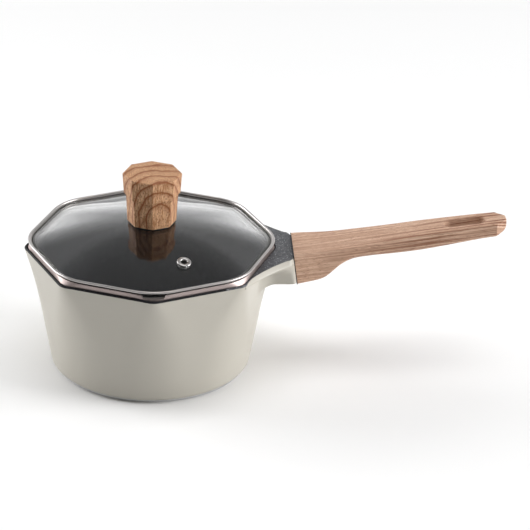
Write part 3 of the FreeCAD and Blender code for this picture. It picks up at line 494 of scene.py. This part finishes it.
def flare_half_width(x):
    """Half width of the bridge's top: an arc from the handle joint out to the rim corner."""
    start, end = np.array(BRIDGE_END), np.array(WING)
    chord = end - start
    length = np.hypot(*chord)
    away = np.array([-chord[1], chord[0]]) / length
    away = away * np.sign(away[0])
    centre = (start + end) / 2 + away * math.sqrt(FLARE_RADIUS ** 2 - (length / 2) ** 2)
    inside = np.clip(x, WING[0] - 8, start[0])
    return centre[1] - np.sqrt(np.maximum(FLARE_RADIUS ** 2 - (inside - centre[0]) ** 2, 0))


def side_distance(x, y, z):
    """Signed distance from the wall and the bridge's sides and underside, blended together."""
    wall = wall_distance(x, y, np.minimum(z, RIM_TOP))
    spread = smooth_step(84.5, 95.0, z) ** 1.3
    from_joint = (JOINT[0] - x) * math.cos(JOINT_TILT) + (JOINT[2] - z) * math.sin(JOINT_TILT)
    turn = np.clip(1 - from_joint / BRIDGE_END_ROUND, 0, 1)
    flare = flare_half_width(x)
    half = np.minimum(flare, BRIDGE_NARROW) + spread * np.maximum(flare - BRIDGE_NARROW, 0)
    half = half - (half - JOINT_HALF) * (1 - np.sqrt(1 - turn ** 2))
    side = (np.abs(y) - half) * np.where(x < 106, 1 - 0.25 * spread, 1)
    drop = BRIDGE_LOW - z
    outside = np.hypot(np.maximum(side + BRIDGE_EDGE, 0), np.maximum(drop + BRIDGE_EDGE, 0))
    bridge = outside + np.minimum(np.maximum(side, drop) + BRIDGE_EDGE, 0) - BRIDGE_EDGE
    bridge = np.maximum(bridge, WING[0] - x)
    blend = 9.5 * (1 - spread) + 0.6
    near_wall, near_bridge = np.maximum(blend - wall, 0), np.maximum(blend - bridge, 0)
    return np.maximum(blend, np.minimum(wall, bridge)) - np.hypot(near_wall, near_bridge)


def crossing(function, low, high, rounds=34):
    """Where a growing function of one number passes zero, by halving."""
    low, high = low.copy(), high.copy()
    for _ in range(rounds):
        middle = (low + high) / 2
        outside = function(middle) > 0
        high = np.where(outside, middle, high)
        low = np.where(outside, low, middle)
    return (low + high) / 2


def rim_edge(angles, inset, depth):
    """Ring on the outer edge: so far in from the side and so far below the top."""
    def beyond(reach):
        x, y = reach * np.cos(angles), reach * np.sin(angles)
        side = side_distance(x, y, RIM_TOP - depth)
        return np.maximum(side, x - BRIDGE_BEYOND) + inset
    reach = crossing(beyond, np.full(angles.shape, 70.0), np.full(angles.shape, 180.0))
    return ring(angles, reach, RIM_TOP - depth)


def outer_skin(angles, start_ring, low, rows):
    """Rings down the outside, from the bevel to a plain height, along rays from inside the wall."""
    start_reach = np.hypot(start_ring[:, 0], start_ring[:, 1])
    first = np.arctan2(start_ring[:, 2] - PIVOT[1], start_reach - PIVOT[0])
    last = np.arctan2(low - PIVOT[1], octagon_reach(
        angles, float(through(WALL_APOTHEM, low)), float(through(WALL_CORNER, low))) - PIVOT[0])
    rings = []
    for share in np.linspace(0, 1, rows + 1)[1:]:
        dip = first + (last - first) * share
        aside, down = np.cos(dip), np.sin(dip)

        def beyond(far):
            reach, height = PIVOT[0] + far * aside, PIVOT[1] + far * down
            x, y = reach * np.cos(angles), reach * np.sin(angles)
            return np.maximum(side_distance(x, y, height), x - BRIDGE_BEYOND)

        far = crossing(beyond, np.full(angles.shape, 1.0), np.full(angles.shape, 120.0))
        rings.append(ring(angles, PIVOT[0] + far * aside, PIVOT[1] + far * down))
    return rings


def wall_rings(angles, apothems, corners, heights):
    """Rings up or down a wall whose apothem and corner radius change with height."""
    return [octagon(angles, float(through(apothems, z)), float(through(corners, z)), z) for z in heights]


def make_pan():
    """Cast pan as one closed skin: floor, inside, ledge, coated top, bridge, wall and foot."""
    near_bridge = np.concatenate([np.arange(-52, 52.1, 0.6), np.arange(10, 16, 0.2), -np.arange(10, 16, 0.2)])
    angles = column_angles(near_bridge)
    floor_reach, floor_height, floor_round = 68.4, 5.0, (8.2, 8.0)
    floor = [ring(angles, reach, floor_height) for reach in (15.0, 40.0, 60.0, floor_reach)]
    for turn in np.radians((15, 30, 45, 60, 75)):
        floor.append(ring(angles, floor_reach + floor_round[0] * math.sin(turn),
                          floor_height + floor_round[1] - floor_round[1] * math.cos(turn)))
    inside = wall_rings(angles, INNER_APOTHEM, INNER_CORNER,
                        (14.0, 22.0, 30.0, 40.0, 50.0, 60.0, 70.0, 78.0, 84.0, 88.0, 89.6))
    # Apothem, corner radius and height, from the inside up over the lid's ledge to the rim.
    ledge = [octagon(angles, *sizes) for sizes in (
        (81.7, 41.0, 90.4), (82.6, 34.5, 95.2), (82.9, 34.0, 95.8), (83.4, 33.5, 95.9), (90.3, 14.5, 95.9),
        (90.65, 13.7, 96.1), (90.7, 13.5, 97.6), (90.76, 13.4, 97.85), (90.9, 13.3, RIM_TOP))]

    # The bevel is wide beside the handle and small elsewhere; its steps are shares of its width.
    heading = np.abs((np.degrees(angles) + 180) % 360 - 180)
    bevel = 1.1 + 2.0 * (1 - smooth_step(36, 44, heading))
    steps = ((1.0, 0.0), (0.94, 0.015), (0.88, 0.07), (0.5, 0.45), (0.1, 0.85), (0.03, 0.93), (0.0, 1.02))
    edge = [rim_edge(angles, bevel * inset, bevel * depth) for inset, depth in steps]
    top = [ledge[-1] + (edge[0] - ledge[-1]) * share for share in (0.2, 0.4, 0.6, 0.8, 0.95)]

    upper = outer_skin(angles, edge[-1], low=60.0, rows=112)
    lower = wall_rings(angles, WALL_APOTHEM, WALL_CORNER,
                       (56.0, 51.0, 46.0, 41.0, 36.0, 30.0, 24.0, 18.0, 12.0, 8.0, 5.4))
    foot = [octagon(angles, 78.05, 76.1, 4.6)] + [ring(angles, reach, height) for reach, height in (
        (77.7, 4.1), (76.1, 2.5), (75.3, 2.3), (75.0, 2.1))]
    standing = [ring(angles, reach, height) for reach, height in (
        (75.0, 0.8), (74.75, 0.25), (74.2, 0.0), (62.6, 0.0), (62.1, 0.3), (62.05, 1.5), (30.0, 1.5))]
    coated = floor + inside + ledge + top
    painted = edge + upper + lower + foot
    points, faces, bands = skin(coated + painted + standing, caps=(True, True))

    # The coating covers the bevel beside the handle, and the paint covers it elsewhere.
    first_paint, first_bare = len(coated), len(coated) + len(painted) - 1
    first_top = len(coated) - len(top) - 2
    paint_start = first_paint + np.round((len(edge) - 1) * smooth_step(41, 46, heading))
    beside_handle = heading < 56
    # Coated faces on the top beside the handle take the coating's lit colour. All other coated faces (the inside,
    # the ledge and the rim strip) take its darker copy as painted shade, in the zone called smooth.
    finishes = (GRANITE, SHADED_COATING, PAINT, BARE_ALUMINIUM)
    granite, smooth, paint, bare = range(len(finishes))
    zones = []
    for index, band in enumerate(bands):
        column = index % len(angles)
        if band < paint_start[column]:
            zones.append(granite if band >= first_top and beside_handle[column] else smooth)
        else:
            zones.append(paint if band < first_bare else bare)
    pan = mesh_object("pan_shell", points, faces, zones, finishes, crease=30)
    slice_off(pan, JOINT, JOINT_OUTWARD, crease=30)
    place(pan, "pan", "cream_enamel", "pan_body")


# ---------------------------------------------------------------- handle

# Distance from the pan's axis, with the handle's width, upper height and lower height.
GRIP_WIDTH = [(104, 46.2), (110, 44.7), (116, 43.4), (126, 40.6), (136, 38.4), (147, 37.5), (158, 36.4),
              (166, 35.0), (180, 32.5), (195, 30.7), (210, 29.4), (225, 27.6), (240, 26.0), (258, 24.9),
              (277, 24.5)]
GRIP_TOP = [(104, 98.9), (110, 99.75), (116, 100.5), (126, 101.5), (136, 102.5), (147, 103.7), (158, 105.4),
            (180, 109.2), (210, 114.3), (240, 119.0), (260, 121.6), (277, 123.3)]
GRIP_LOW = [(104, 75.2), (110, 75.3), (116, 75.9), (122, 76.9), (127, 77.7), (132, 78.9), (136, 80.8),
            (141, 85.0), (145, 88.6), (151, 92.5), (157, 94.9), (168, 96.5), (180, 97.4), (195, 98.7),
            (210, 100.6), (225, 103.0), (240, 105.8), (260, 109.6), (277, 112.2)]
GRIP_END = 277.0
GRIP_EDGE = 1.5
END_CORNER = 8.2
END_LIFT = (7.0, 5.0)
END_ROUND = 1.2

# The hanging slot's two ends and end radius, the heights of the faces there, and its broken edge.
SLOT_START, SLOT_END, SLOT_RADIUS = 229.0, 261.0, 6.0
SLOT_TOP = (117.3, 121.7)
SLOT_LOW = (103.7, 109.8)
SLOT_LIP = 1.3

# The handle bolt: how far it runs under the joint's middle, its seat, head bore and shank bore.
BOLT_DROP = 5.6
BOLT_SEAT = 115.7
BOLT_HEAD_BORE, BOLT_BORE = 4.7, 2.75
GASKET = 0.7


def grip_ring(x):
    """Rounded section across the handle, with a crisp upper edge and a soft lower one."""
    half = float(through(GRIP_WIDTH, x)) / 2
    top, low = float(through(GRIP_TOP, x)), float(through(GRIP_LOW, x))
    to_end = GRIP_END - x
    half = min(half, float(through(GRIP_WIDTH, GRIP_END)) / 2 - END_CORNER + to_end)
    lift_run, lift = END_LIFT
    if to_end < lift_run:
        low += lift * (1 - math.sqrt(1 - (1 - to_end / lift_run) ** 2))
    if to_end < END_ROUND:
        top -= END_ROUND - math.sqrt(END_ROUND ** 2 - (END_ROUND - to_end) ** 2)
        half -= 0.8 * (1 - to_end / END_ROUND) ** 2
    soft = GRIP_EDGE + 3.1 * float(smooth_step(132, 162, x))
    upper, lower = GRIP_EDGE, min(soft, half * 0.55, (top - low) * 0.42)
    corners = ((half - upper, top - upper, upper, 0, 6), (upper - half, top - upper, upper, 90, 6),
               (lower - half, low + lower, lower, 180, 9), (half - lower, low + lower, lower, 270, 9))
    points = []
    for index, (across, up, radius, first, count) in enumerate(corners):
        arc = [np.array((x, across + radius * math.cos(turn), up + radius * math.sin(turn)))
               for turn in np.radians(np.linspace(first, first + 90, count))]
        across, up, radius, first, _ = corners[(index + 1) % 4]
        turn = math.radians(first)
        after = np.array((x, across + radius * math.cos(turn), up + radius * math.sin(turn)))
        points += arc + [arc[-1] + (after - arc[-1]) * share for share in (0.25, 0.5, 0.75)]
    return np.array(points)


def from_joint_face(along, up=0.0):
    """Point so far out from the joint's face and so far above the handle bolt's axis."""
    rise = up - BOLT_DROP
    return (JOINT[0] + along * math.cos(JOINT_TILT) - rise * math.sin(JOINT_TILT), 0.0,
            JOINT[2] + along * math.sin(JOINT_TILT) + rise * math.cos(JOINT_TILT))


def slot_tool():
    """Hanging slot with round ends, opening out at both faces of the handle."""
    around = np.linspace(0, 2 * math.pi, 73)[:-1]
    steps = [(-6.0, SLOT_LIP + 0.5), (0.0, SLOT_LIP)] + [
        (SLOT_LIP * (1 - math.cos(turn)), SLOT_LIP * (1 - math.sin(turn)))
        for turn in np.radians((18, 36, 54, 72, 90))]

    def level(spread, face, heights, depth):
        across = (SLOT_RADIUS + spread) * np.sin(around)
        along = (SLOT_RADIUS + spread) * np.cos(around)
        x = np.where(along > 0, SLOT_END - SLOT_RADIUS, SLOT_START + SLOT_RADIUS) + along
        slope = (heights[1] - heights[0]) / (SLOT_END - SLOT_START)
        height = float(through(face, SLOT_START)) + slope * (x - SLOT_START) + depth
        return np.stack([x, across, height], axis=1)

    rings = [level(spread, GRIP_TOP, SLOT_TOP, -depth) for depth, spread in steps]
    rings += [level(spread, GRIP_LOW, SLOT_LOW, depth) for depth, spread in reversed(steps)]
    points, faces, _ = skin(rings, caps=(True, True))
    return mesh_object("slot_tool", points, faces)


def make_handle():
    """Handle through its stations, cut flat at the gasket, with the hanging slot and the bolt's bores."""
    places = np.unique(np.concatenate([
        np.arange(104, 160, 2.0), np.arange(160, 262, 3.0), np.arange(262, 268.6, 1.3),
        [268.3, 268.8, 269.3, 270.2], np.arange(271, 276, 0.6),
        [275.8, 276.1, 276.4, 276.65, 276.85, GRIP_END]]))
    points, faces, _ = skin([grip_ring(x) for x in places], caps=(True, True))
    handle = mesh_object("handle_wood", points, faces, None, (HANDLE_WOOD,), crease=38)
    slice_off(handle, from_joint_face(GASKET, BOLT_DROP), -JOINT_OUTWARD, crease=38)
    head_bore = cylinder_tool(BOLT_HEAD_BORE, from_joint_face(BOLT_SEAT), from_joint_face(BOLT_SEAT + 9))
    shank_bore = cylinder_tool(BOLT_BORE, from_joint_face(-2), from_joint_face(BOLT_SEAT + 1), segments=24)
    carve(handle, [slot_tool(), head_bore, shank_bore], crease=38)
    place(handle, "pan", "handle_wood", "handle_grip")


# ---------------------------------------------------------------- lid

DOME_TOP = 120.0
DOME_FOOT = 103.6
DOME_APOTHEM = 87.2
DOME_INNER_APOTHEM = 85.2
CROWN = 0.2
CROWN_FALL = 0.04
GLASS_THICK = 3.5
GLASS_APOTHEM = 88.7
GLASS_CORNER = 38.7
GLASS_BORE = 4.0
VENT_HOLE = 3.5
VENT_DISTANCE = 62.7
VENT_HEADING = math.radians(-68)


def dome_ring(angles, share, top, foot_apothem, foot):
    """Octagon at the dome's foot, almost a circle at its crown; share runs from CROWN to 1 at the foot."""
    roundness = (1 - share) / (1 - CROWN)
    apothem = foot_apothem * share
    corner = apothem * (0.97 * roundness + (1 - roundness) * GLASS_CORNER / GLASS_APOTHEM)
    fall = (share ** 2 - CROWN_FALL) / (1 - CROWN_FALL)
    return octagon(angles, apothem, corner, top - (top - foot) * fall)


def vent_frame():
    """Where the vent sits on the dome and which way is out of the glass."""
    share = VENT_DISTANCE / DOME_APOTHEM
    rise = (DOME_TOP - DOME_FOOT) / (1 - CROWN_FALL)
    height = DOME_TOP - rise * (share ** 2 - CROWN_FALL)
    lean = math.atan(2 * rise * share / DOME_APOTHEM)
    aside, along = math.cos(VENT_HEADING), math.sin(VENT_HEADING)
    spot = Vector((VENT_DISTANCE * aside, VENT_DISTANCE * along, height))
    out = Vector((math.sin(lean) * aside, math.sin(lean) * along, math.cos(lean)))
    return spot, out


def make_glass():
    """Domed octagonal glass with a round edge, bored for the vent and the knob's bush."""
    angles = column_angles()
    shares = (CROWN, 0.26, 0.33, 0.4, 0.48, 0.56, 0.64, 0.72, 0.8, 0.87, 0.93, 0.97, 0.99, 1.0)
    edge_low = DOME_FOOT - GLASS_THICK
    upper = [ring(angles, 5.0, DOME_TOP)]
    upper += [dome_ring(angles, share, DOME_TOP, DOME_APOTHEM, DOME_FOOT) for share in shares]
    edge = [octagon(angles, GLASS_APOTHEM - inset, GLASS_CORNER, height) for inset, height in (
        (1.0, 103.58), (0.4, 103.5), (0.1, 103.2), (0.02, 102.7), (0.02, 100.8), (0.2, 100.3), (0.6, edge_low))]
    lower = [dome_ring(angles, share, DOME_TOP - GLASS_THICK, DOME_INNER_APOTHEM, edge_low)
             for share in reversed(shares)]
    lower.append(ring(angles, 5.0, DOME_TOP - GLASS_THICK))
    points, faces, _ = skin(upper + edge + lower, caps=(True, True))
    glass = mesh_object("lid_glass_dome", points, faces, None, (GLASS,), crease=35)
    spot, out = vent_frame()
    low, high = np.array(spot - out * 8), np.array(spot + out * 6)
    vent_hole = cylinder_tool(VENT_HOLE, low, high, 40)
    knob_hole = cylinder_tool(GLASS_BORE, (0, 0, 112), (0, 0, 124), 40)
    carve(glass, [vent_hole, knob_hole], crease=35)
    place(glass, "lid", "clear_glass", "lid_glass")


def drain_tool(side):
    """Rounded pouring slot through the band at one of the two middle corners."""
    half, low, high, radius = 10.0, 98.6, 102.9, 3.6
    outline = [(half, high), (-half, high)]
    for across, first in ((radius - half, 180), (half - radius, 270)):
        outline += [(across + radius * math.cos(turn), low + radius + radius * math.sin(turn))
                    for turn in np.radians(np.linspace(first, first + 90, 9))]
    near = np.array([(x, side * 84.0, z) for x, z in outline])
    far = np.array([(x, side * 112.0, z) for x, z in outline])
    points, faces, _ = skin([near, far], caps=(True, True))
    return mesh_object("drain_tool", points, faces)


def make_band():
    """Rolled steel band: foot, step, upright wall, round bead over the glass and shelf under it.

    The outline is one closed list of (apothem, height), and the wall's corners are sharper at its foot.
    """
    angles = column_angles()
    bead_middle, bead_height, bead_radius = 91.15, 104.25, 0.98
    wall_foot, wall_rise, wall_sharp, wall_soften = 97.4, 3.95, 17.0, 22.9
    foot = [(83.7, 96.2), (87.9, 96.2), (88.35, 96.32), (88.6, 96.6), (88.65, 96.85)]
    wall = [(88.8, 96.96), (89.1, 97.0), (89.7, 97.02), (90.1, 97.15), (90.2, 97.5), (90.15, 98.2),
            (90.1, 99.0), (90.02, 100.0), (89.95, 100.8), (89.9, 101.2), (89.84, 101.35)]
    seam = [(89.65, 101.42), (89.3, 101.55), (89.2, 101.8), (89.2, 102.9), (89.6, 103.2)]
    bead = [(bead_middle + bead_radius * math.cos(turn), bead_height + bead_radius * math.sin(turn))
            for turn in np.radians(range(-125, 196, 20))]
    pocket = [(89.5, 103.7), (88.85, 103.64), (88.8, 103.62), (88.8, 100.06), (85.4, 100.06), (85.3, 99.7)]
    room = [(85.4, 99.34), (89.0, 99.3), (89.1, 99.1), (89.1, 97.95), (89.0, 97.82), (88.0, 97.8),
            (87.8, 97.6), (87.8, 97.2), (87.6, 97.0), (83.7, 97.0), (83.5, 96.6)]

    def even(outline):
        return [octagon(angles, apothem, max(apothem - 50.0, 36.0), height) for apothem, height in outline]

    rings = even(foot)
    for apothem, height in wall:
        corner = wall_sharp + wall_soften * max(height - wall_foot, 0) / wall_rise
        rings.append(octagon(angles, apothem, corner, height))
    rings += even(seam + bead + pocket + room)
    points, faces, bands = skin(rings, closed=True)
    seam_start = len(foot) + len(wall) - 1
    bead_start = seam_start + len(seam) + 1
    pocket_start = bead_start + len(bead)
    # Zones: the wall is a darker copy of the bead's steel as painted darker reflection, the groove under the bead
    # and the room under the shelf are near-black painted shade, and the pocket's shaded steel is painted shade
    # too.
    finishes = np.digitize(bands, (seam_start, bead_start, pocket_start, pocket_start + len(pocket) - 1))
    finish_list = (WALL_STEEL_PAINTED_DARK, GROOVE_SHADE_STEEL, BEAD_STEEL, SHADED_STEEL, GROOVE_SHADE_STEEL)
    band = mesh_object("lid_band", points, faces, finishes, finish_list, crease=44)
    carve(band, [drain_tool(-1), drain_tool(1)], crease=44)
    place(band, "lid", "polished_steel", "lid_rim_band")


def make_vent():
    """Flanged tube through the glass, turned from one closed profile of (radius, height)."""
    profile = [(2.4, -5.25), (2.55, -5.4), (3.85, -5.4), (4.0, -5.2), (4.0, -4.75), (3.85, -4.62),
               (3.3, -4.6), (3.3, 0.06), (5.1, 0.06), (5.4, 0.2), (5.5, 0.45), (5.45, 0.75), (5.2, 1.05),
               (4.75, 1.26), (4.2, 1.33), (3.6, 1.3), (3.1, 1.14), (2.7, 0.85), (2.48, 0.45), (2.4, 0.0)]
    around = np.linspace(0, 2 * math.pi, 72, endpoint=False)
    points, faces, _ = skin([ring(around, radius, height) for radius, height in profile], closed=True)
    spot, out = vent_frame()
    turn = np.array(out.to_track_quat("Z", "Y").to_matrix())
    vent = mesh_object("vent_grommet", points @ turn.T + np.array(spot), faces, None, (VENT_STEEL,), crease=40)
    place(vent, "lid", "polished_steel", "vent_eyelet")


def make_knob():
    """Octagonal knob with slightly broken edges: stem, step, widening head and bevelled top.

    The section is (distance to a corner, height).
    """
    angles = column_angles()
    section = [(19.0, 120.8), (19.05, 121.0), (20.15, 141.6), (20.25, 142.0), (20.4, 142.25), (21.8, 144.2),
               (22.0, 144.6), (22.03, 145.0), (23.05, 159.4), (23.1, 159.8), (22.95, 160.3), (22.6, 160.7),
               (22.1, 160.93), (21.6, 161.0), (14.0, 161.0)]
    rings = [octagon(angles, radius * math.cos(HALF_EIGHTH), 0.55, height) for radius, height in section]
    points, faces, _ = skin(rings, caps=(True, True))
    knob = mesh_object("knob_wood_body", points, faces, None, (KNOB_WOOD,), crease=60)
    insert_bore = cylinder_tool(4.0, (0, 0, 119), (0, 0, 134.8), 40)
    screw_bore = cylinder_tool(2.4, (0, 0, 119), (0, 0, 138.8), 24)
    carve(knob, [insert_bore, screw_bore], crease=60)
    place(knob, "lid", "knob_wood", "knob")


# ---------------------------------------------------------------- assembly

make_pan()
make_handle()
make_glass()
make_band()
make_vent()
make_knob()

# CAD nodes that stay, with their finishes.
CAD_FINISHES = {
    "induction_plate": BASE_STEEL, "handle_gasket": SILICONE, "handle_bolt": ZINC_STEEL,
    "handle_washer": ZINC_STEEL, "handle_spring_washer": ZINC_STEEL, "vent_backing_ring": VENT_STEEL,
    "knob_insert": BRASS, "knob_gasket": SILICONE, "knob_seal": SILICONE, "knob_washer": ZINC_STEEL,
    "knob_screw": ZINC_STEEL}
for name, material in CAD_FINISHES.items():
    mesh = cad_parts[name].data
    mesh.materials.clear()
    mesh.materials.append(material)


# ---------------------------------------------------------------- studio

def make_floor():
    """Wide plain disc just under the pan."""
    around = np.linspace(0, 2 * math.pi, 96, endpoint=False)
    rings = [ring(around, reach, -0.05) for reach in (200.0, 1000.0, 4000.0, 9000.0)]
    points, faces, _ = skin(rings, caps=(True, False))
    material = new_material("pale_floor")
    tree = material.node_tree
    tone = ramp(tree, noise(tree, place_of(tree), 3), [(0.0, 0.93), (1.0, 0.95)])
    shader = node(tree, "ShaderNodeBsdfPrincipled", {
        "Base Color": tone, "Roughness": 0.9, "Specular IOR Level": 0.1})
    floor = mesh_object("floor", points, faces, None, (finish_material(material, shader),))


def make_light(name, spot, target, size, power):
    """Soft box at a place, facing a target; metres and watts."""
    data = bpy.data.lights.new(name, "AREA")
    data.shape = "RECTANGLE"
    data.size, data.size_y = size
    data.energy = power
    light = bpy.data.objects.new(name, data)
    light.location = spot
    light.rotation_euler = (Vector(target) - Vector(spot)).to_track_quat("-Z", "Y").to_euler()
    bpy.context.scene.collection.objects.link(light)


BACKDROP_STRENGTH = 1.72


def make_world():
    """Plain studio surroundings: a bright backdrop low down, darker overhead and towards the front."""
    world = bpy.data.worlds.new("studio")
    bpy.context.scene.world = world
    world.use_nodes = True
    tree = world.node_tree
    tree.nodes.clear()
    heading = node(tree, "ShaderNodeTexCoord").outputs["Generated"]
    parts = node(tree, "ShaderNodeSeparateXYZ", {0: heading})
    height = math_node(tree, "ABSOLUTE", parts.outputs[2])
    glow = ramp(tree, height, [(0.06, 1.0), (0.18, 0.76), (0.36, 0.50), (0.62, 0.22), (1.0, 0.15)])
    behind = rescale(tree, parts.outputs[1], -0.25, 0.35, 0.07, 1.0)
    glow = math_node(tree, "MULTIPLY", math_node(tree, "MULTIPLY", glow, behind), BACKDROP_STRENGTH)
    background = node(tree, "ShaderNodeBackground", {"Color": (1, 1, 1, 1), "Strength": glow})
    node(tree, "ShaderNodeOutputWorld", {"Surface": background.outputs[0]})


def make_camera():
    """Long lens, a little above the lid, with the object framed off centre."""
    elevation, swing, roll = 0.449, -0.0629, 0.0275  # radians
    away, aside, above = 2.5, 0.09097, 0.07361  # metres from the middle of the pan's base
    back = Vector((math.sin(swing) * math.cos(elevation), -math.cos(swing) * math.cos(elevation),
                   math.sin(elevation)))
    level = Vector((math.cos(swing), math.sin(swing), 0))
    upright = back.cross(level)
    right = level * math.cos(roll) + upright * math.sin(roll)
    up = upright * math.cos(roll) - level * math.sin(roll)
    data = bpy.data.cameras.new("camera")
    data.lens = 213.84
    data.sensor_width = 36.0
    data.clip_start, data.clip_end = 0.1, 100
    camera = bpy.data.objects.new("camera", data)
    camera.matrix_world = Matrix.Translation(back * away + right * aside + up * above) @ Matrix(
        (right, up, back)).transposed().to_4x4()
    bpy.context.scene.collection.objects.link(camera)
    bpy.context.scene.camera = camera


make_floor()
make_world()
make_light("right_box", (2.6, -0.5, 0.9), (0.05, 0, 0.06), (1.6, 1.8), 70)
make_light("left_box", (-2.41, 0.97, 0.9), (0, 0, 0.06), (1.6, 1.8), 57)
make_light("top_box", (0.1, -0.25, 2.8), (0.05, 0, 0), (2.2, 1.6), 35)
make_camera()
bpy.context.scene.view_settings.view_transform = "Standard"
